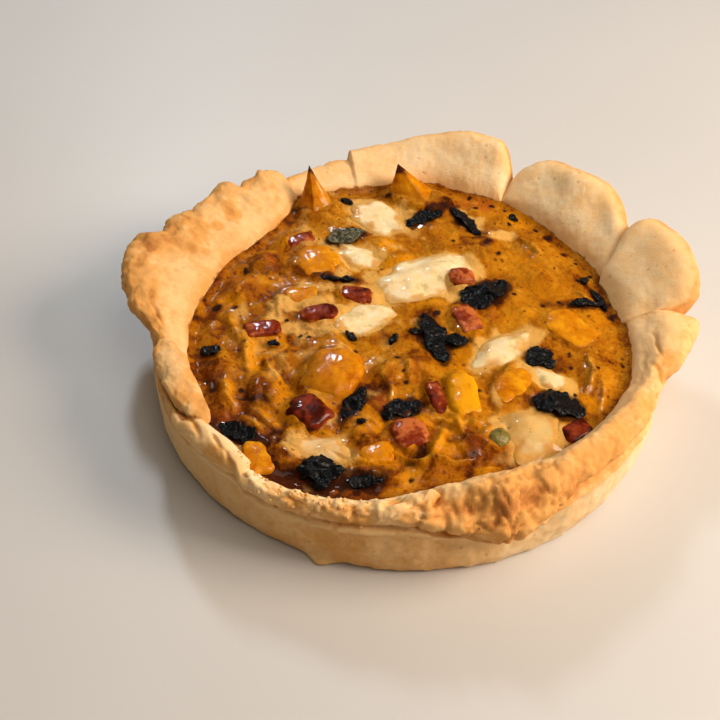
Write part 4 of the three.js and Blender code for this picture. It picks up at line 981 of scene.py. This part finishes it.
def strap_grid():
    """The strap: a superellipse section carried along its arc, narrowed to a rounded point at both ends."""
    t = np.linspace(0, 1, 90)[:, None]
    turn = np.linspace(0, 2 * math.pi, 72, endpoint=False)[None, :]
    share = np.sqrt(np.maximum(0.002, 1 - (2 * t - 1) ** 2)) ** 0.9
    deg = lerp(STRAP["from"], STRAP["to"], t) * RAD
    r = lerp(*STRAP["radius"], t) + STRAP["width"] / 2 * share * signed_power(np.cos(turn), 0.65)
    half = STRAP["thick"] / 2
    z = lerp(*STRAP["top"], t) - half + half * share * signed_power(np.sin(turn), 0.65)
    rings = np.stack([r * np.cos(deg), r * np.sin(deg), z], -1)[::-1]
    rings = rings + (0.45 * fbm(rings, 3.4, 4, 0.6))[..., None] * normals(rings)
    bake = 0.44 + 0.2 * noise(rings[..., 0] / 3, rings[..., 1] / 3, rings[..., 2] / 3)
    return rings, bake, 0.9 * ease((17.2 - rings[..., 2]) / 1.4)


def make_case():
    case, deg, places = case_grid()
    grids = [[part[None] for part in (a, b)] for a, b in zip(case, strap_grid())]
    skin("crust_case", grids[0], "crust", ["crust"], CRUST, bake=grids[1], stain=grids[2])
    make_crumbs(case[0], deg, places)


# ---- the filling ----
FILLING_POINTS, FILLING_RINGS = 640, 146  # round its top, and in over it


def filling_height(x, y):
    """The solid's own top: a low dome, the covered lumps and a fine unevenness, all level at the wall."""
    edge = np.hypot(x, y) / rim_at(np.degrees(np.arctan2(y, x)))["inner"]
    lumps = sum(height * (1 - ease(np.hypot(x - lx, y - ly) / radius)) for lx, ly, radius, height in LUMPS)
    uneven = 0.5 * noise(x / 7, y / 7, 3.1) + 0.3 * noise(x / 3.5, y / 3.5, 8.2)
    inside = 1 - ease((edge - 0.86) / 0.14)
    return FILL - 0.6 + (DOME + lumps + uneven + 0.6) * inside


def ground(at):
    return float(filling_height(np.array([float(at[0])]), np.array([float(at[1])]))[0])


def collar(x, y):
    """The custard's rise against the pieces baked into it: part of each one's height, gone 2 mm away."""
    total = np.zeros_like(x)
    for specs, part in ((SQUASHES, 0.62), (HAMS, 0.55), (CAPERS, 0.4)):
        for spec in specs.values():
            d = near_spec(x, y, spec, 1.0) + 0.6 * noise(x / 1.6, y / 1.6, 5.5)
            total = np.maximum(total, part * min(spec["rise"], 2.6) * (1 - ease((d + 0.3) / 2.3)))
    return total


def near_spec(x, y, spec, margin):
    """Distance outside a piece's oval, over margin: 0 at its edge, 1 at the margin, less than 0 inside."""
    c, s = math.cos(spec["turn"] * RAD), math.sin(spec["turn"] * RAD)
    dx, dy = x - spec["at"][0], y - spec["at"][1]
    a, b = spec["size"][0] / 2, spec["size"][1] / 2
    d = np.hypot((c * dx + s * dy) / a, (c * dy - s * dx) / b)
    return (d - 1) * math.sqrt(a * b) / margin


def filling_grid():
    """The filling: rings up its side and in over its top, with folds, wrinkles and blisters in its skin. Also
    gives the marks that colour it."""
    deg = np.linspace(0, 360, FILLING_POINTS, endpoint=False)
    c, s = np.cos(deg * RAD), np.sin(deg * RAD)
    points, rim = section_at(deg)
    share = (np.linspace(1, 0.004, FILLING_RINGS) ** 0.86)[:, None]
    edge_r = rim["inner"] + 1.1
    x, y = share * edge_r * c, share * edge_r * s
    flat = np.stack([x, y, np.zeros_like(x)], -1)
    lumpy = clamp01(0.35 + 0.5 * ease((-x - 5) / 25) + 0.6 * ease((-y - 8) / 25))
    warp = pushed(flat, 1.4, 4.0, 2)

    # Wrinkles, blisters, folds, and plates of skin between grooves.
    wrinkle = 1 - np.abs(fbm(warp, 5.0, 3, 0.5, 2.0))
    wrinkled = 0.5 * (wrinkle - 0.7) + 0.25 * (domes(warp, 3.6, 3.0) - 0.6)
    detail = lumpy * (wrinkled + 0.5 * fbm(warp, 8.0, 2, 0.5, 31.0)) + 0.07 * fbm(flat, 1.6, 2, 0.5, 8.0)
    detail = detail + (0.08 + 0.12 * lumpy) * (0.6 - np.abs(fbm(warp, 2.3, 3, 0.6, 17.0)))
    detail = detail + 0.1 * domes(flat, 1.8, 9.0) * clamp01(fbm(flat, 6.0, 2, 0.5, 5.0) + 0.1)
    folded = np.zeros_like(x)
    for fold, height in drawn_lines(x, y, FOLDS, 0.8, 3, 1.5, 0.5, 0.5):
        folded = np.maximum(folded, fold)
        detail = detail + 1.3 * height * fold
    strong = flat + 2.6 * np.stack([fbm(flat, 5.0, 3, 0.5, 3.0), fbm(flat, 5.0, 3, 0.5, 13.0), 0 * x], -1)
    near, second, draw = cells(strong, 7.5, 4.0)
    plate = ease((second - near) / 0.4)
    detail = detail + lumpy * (0.7 * plate * (0.3 + 0.7 * draw) - 0.3)
    ripple_at = np.stack([share * edge_r / 1.7, deg * RAD * 7 + 0 * x, 0 * x], -1)
    detail = detail + 0.4 * ease((-y - 22) / 12) * fbm(ripple_at, 1.0, 3, 0.5, 21.0)
    rise = collar(x, y)
    calm = np.max([1 - ease(near_spec(x, y, spec, 2.5)) for spec in CHEESES.values()], axis=0)
    detail = detail * (1 - 0.5 * ease(rise)) * (1 - 0.85 * calm) + rise
    inside = 1 - ease((share - 0.9) / 0.1)
    z = filling_height(x, y) + detail * inside + ease((share - 0.94) / 0.06)

    brown = 0.36 + 0.08 * ease(-x / 30) + 0.24 * ease((-y - 15) / 25)
    brown = np.maximum(brown, 0.4 + 0.5 * patches(x, y, BROWN_PATCHES)) - 0.05
    # Painted shade and highlight: the skin is browner in the grooves between its plates, and paler on its
    # raised parts and folds; each plate's own draw is its real tone.
    brown = brown + lumpy * (0.22 * (1 - ease((second - near) / 0.2)) + 0.26 * (draw - 0.55))
    brown = brown - 0.22 * (detail - rise) * lumpy - 0.16 * folded
    brown = brown + 0.2 * ease((share - 0.93) / 0.07) + 0.1 * ease((share - 0.8) / 0.15) * ease(-x / 20)
    burnt = np.zeros_like(x)
    for blade in sum(LEAVES.values(), []):
        d = near_spec(x, y, blade, 1.5) + 0.5 * noise(x / 1.2, y / 1.2, 7.0)
        burnt = np.maximum(burnt, 0.62 * (1 - ease((d + 0.2) / 1.1)))
        brown = brown + 0.3 * (1 - ease((d - 0.1) / 1.8))
    for px, py, radius in SPOTS:
        d = np.hypot(x - px, y - py) / radius + 0.35 * noise(x / 0.7, y / 0.7, 3.0)
        burnt = np.maximum(burnt, 0.8 * (1 - ease(d - 0.3)))
    mottled = 0.6 * clamp01(fbm(flat, 4.0, 3, 0.5, 41.0)) * ease((12 - x) / 20) * ease((x + 38) / 14)
    cream = np.maximum(patches(x, y, CREAM_PATCHES), mottled)
    ragged = 0.6 * noise(x / 3, y / 3, 2.0) + 0.3 * noise(x / 1.2, y / 1.2, 3.0)
    for spec in CHEESES.values():
        d = near_spec(x, y, spec, 3.2) + ragged
        cream = np.maximum(cream, 0.62 * (1 - ease(d + 0.1)))
        brown = brown - 0.12 * (1 - ease(d))
    wet = 0.45 + 0.35 * fbm(flat, 6.0, 3, 0.5, 12.0) + 0.3 * ease(-x / 25) + 0.2 * ease(-y / 30)
    specks = 0.32 + 0.26 * ease(-(x - 5) / 20) + 0.12 * fbm(flat, 7.0, 2, 0.5, 6.0)
    marks = {
        "brown": brown, "burnt": burnt, "cream": cream, "rust": patches(x, y, RUST_PATCHES),
        "gold": np.maximum(patches(x, y, GOLD_PATCHES), 0.6 * lumpy * plate * ease((0.3 - draw) / 0.1)),
        "specks": clamp01(specks + 0.2 * ease((share - 0.75) / 0.2)), "wet": clamp01(wet),
        "shine": patches(x, y, SHINES, 0.5, 1.4),
    }
    shiny = 0.34 * fbm(flat, 1.7, 2, 0.5, 23.0) + 0.3 * np.abs(fbm(warp, 3.0, 2, 0.5, 27.0))
    top = np.stack([x, y, z + marks["shine"] * shiny], -1)
    side = [np.stack([r * c, r * s, h], -1) for r, h in (part.T for part in points[:3])]
    rings = np.concatenate([side, top])
    return rings, {
        key: np.concatenate([np.repeat(value[:1], len(side), axis=0), value]) for key, value in marks.items()
    }


def make_filling():
    rings, marks = filling_grid()
    lone_skin("filling_custard", rings, "filling", "filling", SKIN, **marks)


# ---- morsels and leaves ----
def morsel_grid(spec, seed, relief, size, wobble, square, top, melt=0.0):
    """A lump: rings from its underside to its summit, each a wandering superellipse. Under the filling's
    height the side closes in a quarter oval; above it share^top + up^top = 1. It leans by up."""
    points, low_rows, high_rows = 96, 8, 38
    top = spec.get("top", top)
    base = ground(spec["at"])
    c, s = math.cos(spec["turn"] * RAD), math.sin(spec["turn"] * RAD)
    a = np.linspace(0, 2 * math.pi, points, endpoint=False)
    low = np.linspace(-1, 0, low_rows, endpoint=False) * math.pi / 2
    high = np.linspace(0, 1, high_rows, endpoint=False) * math.pi / 2
    share = np.concatenate([np.cos(low) ** 0.5, np.cos(high) ** (2 / top)])[:, None]
    share[0] = 0.05
    height = np.concatenate([spec["sink"] * np.sin(low), spec["rise"] * np.sin(high) ** (2 / top)])[:, None]
    up = np.maximum(height, 0) / spec["rise"]
    wander = 1 + wobble * noise(2 * np.cos(a) + seed, 2 * np.sin(a), seed * 1.7)
    u = spec["size"][0] / 2 * share * wander * signed_power(np.cos(a), 2 / square)
    v = spec["size"][1] / 2 * share * wander * signed_power(np.sin(a), 2 / square)
    lean = spec.get("lean", (0, 0))
    rings = np.stack([
        spec["at"][0] + c * u - s * v + lean[0] * up,
        spec["at"][1] + s * u + c * v + lean[1] * up,
        base + height + 0 * u,
    ], -1)
    if melt:
        rings[..., 2] += melt * (filling_height(rings[..., 0], rings[..., 1]) - base) * (height > -0.5)
    rings = rings + (relief * fbm(rings, size, 4, 0.5, seed))[..., None] * normals(rings)
    x, y = rings[..., 0], rings[..., 1]
    above = up + 0.25 * noise(x / 1.5, y / 1.5, seed)
    film = 1 - ease((above - 0.05) / (0.35 if melt else 0.6))
    if melt:
        wavy = 0.4 * fbm(rings, 4.0, 4, 0.65, seed)
        film = np.maximum(film, clamp01((share - 0.6 + 0.8 * wavy) / 0.4) * (height >= 0))
    # Painted shade: the side towards shade's degrees is given the custard's colour through the same mark as
    # the film.
    towards, amount = spec.get("shade", (0, 0))
    across = (x - spec["at"][0]) * math.cos(towards * RAD) + (y - spec["at"][1]) * math.sin(towards * RAD)
    film = film + spec.get("film", 0) + amount * ease(0.5 + across / spec["size"][1])
    return rings, film, above


def make_morsels(specs, slot, material_of, relief, size, wobble, square, top, melt=0.0):
    for seed, (name, spec) in enumerate(specs.items()):
        rings, film, above = morsel_grid(spec, seed + 0.5, relief, size, wobble, square, top, melt)
        char = ease((above - 0.64) / 0.25) if "peak" in name else 0 * film
        tone = spec.get("tone", 0) + 0 * film
        lone_skin(name + "_piece", rings, slot, name, material_of, film=film, char=char, tone=tone)


def blade_grid(spec, seed, steps=120, loop=48):
    """One blade: a lens-shaped outline with ragged, lobed edges, waved along and curled across, crinkled, with
    a lens section. It lies on the filling where it would dip into it."""
    c, s = math.cos(spec["turn"] * RAD), math.sin(spec["turn"] * RAD)
    at, size, ruffle, lift = spec["at"], spec["size"], spec["ruffle"], spec["lift"]
    t = np.linspace(0.004, 0.996, steps)[:, None]
    q = np.linspace(0, 2 * math.pi, loop, endpoint=False)[None, :]
    share = 0.5 * np.cos(q)
    side = np.sin(q)
    width = np.sin(math.pi * lerp(0.09, 0.93, t)) ** 0.7 * (1 + 0.25 * noise(t * 5, at[0], at[1]))
    closed = (1 - (2 * t - 1) ** 6) ** 0.5
    edge_side = np.sign(np.cos(q)) * 3 + seed
    ragged = 1 + 0.42 * noise(t * 4, edge_side, 1.5) + 0.3 * noise(t * 9, edge_side, 7.5)
    ragged = ragged + 0.1 * noise(t * 22, edge_side, 3.5)
    u = (t - 0.5) * size[0] + 0 * q
    v = share * size[1] * width * closed * ragged
    wave = 0.55 * (ruffle * np.sin(t * 7 + at[0]) + 0.6 * ruffle * np.cos(share * width * 5 + t * 3))
    sag = lift * 1.1 * (2 * t - 1) ** 2 + 0.4 * lift
    x, y = at[0] + c * u - s * v, at[1] + s * u + c * v
    middle = np.maximum(ground(at) + lift + wave - sag, filling_height(x, y) + LEAF_CLEAR)
    p = np.stack([x, y, middle], -1)
    crinkle = 0.4 * fbm(p * (1, 1, 0), 1.8, 4, 0.6, seed)
    half = LEAF_THICK / 2 * signed_power(side, 0.6) * closed * (1 + 0.4 * noise(x / 0.8, y / 0.8, seed))
    return np.stack([x, y, middle + crinkle + half], -1)[::-1]


def make_leaves():
    for seed, (name, blades) in enumerate(LEAVES.items()):
        grids = [blade_grid(blade, seed + 0.4 * which) for which, blade in enumerate(blades)]
        skin(name + "_blade", [np.array(grids)], "leaf", [name], GREEN_LEAF if name == "leaf_green" else LEAF)


def make_flakes():
    """Burnt flakes stuck to the filling: small blades that lie nearly flat on it."""
    blades = [leaf(x, y, 0.9 * length, 0.8 * width, turn, 0.3, 0.3)[0] for x, y, length, width, turn in FLAKES]
    grids = [blade_grid(blade, seed + 0.7, 44, 24) for seed, blade in enumerate(blades)]
    skin("burnt_flakes", [np.array(grids)], "leaf", ["filling"], LEAF)


CRUMBS = 60
CRUMB_SIZE = (0.16, 0.34)  # radius of the least, and what a draw adds to it


def make_crumbs(rings, deg, places):
    """Crumbs of crust on the torn stretch of the rim: uneven balls, half sunk in it where draws put them."""
    n = normals(rings)
    row = np.flatnonzero((places > 4.6) & (places < 9.2))
    column = np.flatnonzero((deg > 236) & (deg < 266))
    pick = rng.choice(row, CRUMBS), rng.choice(column, CRUMBS)
    size = CRUMB_SIZE[0] + CRUMB_SIZE[1] * rng.random(CRUMBS) ** 2.4
    up = np.linspace(-1.45, 1.45, 6)[None, :, None]
    turn = np.linspace(0, 2 * math.pi, 9, endpoint=False)
    ball = np.stack([np.cos(up) * np.cos(turn), np.cos(up) * np.sin(turn), np.sin(up) + 0 * turn], -1)
    stretch = (0.7 + 0.6 * rng.random((CRUMBS, 3)))[:, None, None, :] * size[:, None, None, None]
    middle = rings[pick][:, None, None, :]
    balls = middle + ball * stretch * (1 + 0.25 * fbm(ball * 1.3 + 7 * middle, 1.0, 2)[..., None])
    flat = np.zeros(balls.shape[:3])
    skin("crumbs", [balls], "crust", ["crust"], CRUST, bake=[flat + 0.3 + 0.2 * rng.random((CRUMBS, 1, 1))],
         stain=[flat])


# ---- camera, light and floor ----
CAMERA = {"distance": 245.5, "elevation": 46.7, "roll": 5.0, "lens": 57.5, "shift": (-0.0578, 0.011)}
FLOOR_SIZE = 6.0  # metres


def make_camera():
    data = bpy.data.cameras.new("camera")
    data.lens = CAMERA["lens"]
    data.sensor_width = 36.0
    data.shift_x, data.shift_y = CAMERA["shift"]
    data.clip_start = 0.01
    camera = bpy.data.objects.new("camera", data)
    up = CAMERA["elevation"] * RAD
    place_at = Vector((0, -math.cos(up), math.sin(up))) * CAMERA["distance"] * MM
    turn = Matrix.Rotation(math.pi / 2 - up, 4, "X") @ Matrix.Rotation(CAMERA["roll"] * RAD, 4, "Z")
    camera.matrix_world = Matrix.Translation(place_at) @ turn
    bpy.context.scene.collection.objects.link(camera)
    bpy.context.scene.camera = camera


def make_light(name, towards, elevation, distance, size, power, colour):
    """A soft rectangle of light that stands at an angle round the quiche and faces it."""
    data = bpy.data.lights.new(name, "AREA")
    data.shape = "RECTANGLE"
    data.size, data.size_y = size
    data.energy = power
    data.color = colour
    lamp = bpy.data.objects.new(name, data)
    a, e = towards * RAD, elevation * RAD
    at = Vector((math.cos(e) * math.cos(a), math.cos(e) * math.sin(a), math.sin(e))) * distance
    lamp.matrix_world = Matrix.Translation(at) @ at.to_track_quat("Z", "Y").to_matrix().to_4x4()
    bpy.context.scene.collection.objects.link(lamp)


def make_floor():
    bpy.ops.mesh.primitive_plane_add(size=FLOOR_SIZE)
    floor = bpy.context.object
    floor.name = "floor"
    made, tree, shader = material("pale_floor")
    tone = grain(tree, place(tree), 60.0, 2.0)
    colour = ramp(tree, tone, [(0.0, (0.6, 0.58, 0.56)), (1.0, (0.63, 0.61, 0.59))])
    finish_with(tree, shader, Base_Color=colour, Roughness=0.45)
    floor.data.materials.append(made)
    floor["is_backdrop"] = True


def make_world():
    world = bpy.data.worlds.new("room")
    world.use_nodes = True
    background = world.node_tree.nodes["Background"]
    background.inputs["Color"].default_value = (1.0, 0.92, 0.78, 1.0)
    background.inputs["Strength"].default_value = 0.13
    bpy.context.scene.world = world


make_camera()
make_world()
make_floor()
# Lights: degrees towards and up, metres away, size in metres, watts, colour.
make_light("warm_side", -3, 38, 0.46, (0.22, 0.22), 2.4, (1.0, 0.83, 0.67))
make_light("window", 109, 42, 0.55, (0.05, 0.08), 0.95, (0.8, 0.9, 1.0))
make_light("room", -40, 70, 0.6, (0.4, 0.4), 1.1, (1.0, 0.92, 0.8))
bpy.context.scene.view_settings.view_transform = "Standard"

make_case()
make_filling()
make_morsels(CHEESES, "cheese", CHEESE, relief=0.14, size=4, wobble=0.3, square=2.4, top=1.3, melt=1)
make_morsels(SQUASHES, "squash", SQUASH, relief=0.18, size=4, wobble=0.16, square=3, top=2.8)
make_morsels(HAMS, "ham", HAM, relief=0.13, size=3.4, wobble=0.16, square=3.8, top=3.4)
make_morsels(CAPERS, "caper", CAPER, relief=0.15, size=1.4, wobble=0.05, square=2, top=2)
make_leaves()
make_flakes()

[[list(corner) for corner in box] for box in (CAD_BOX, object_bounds())]
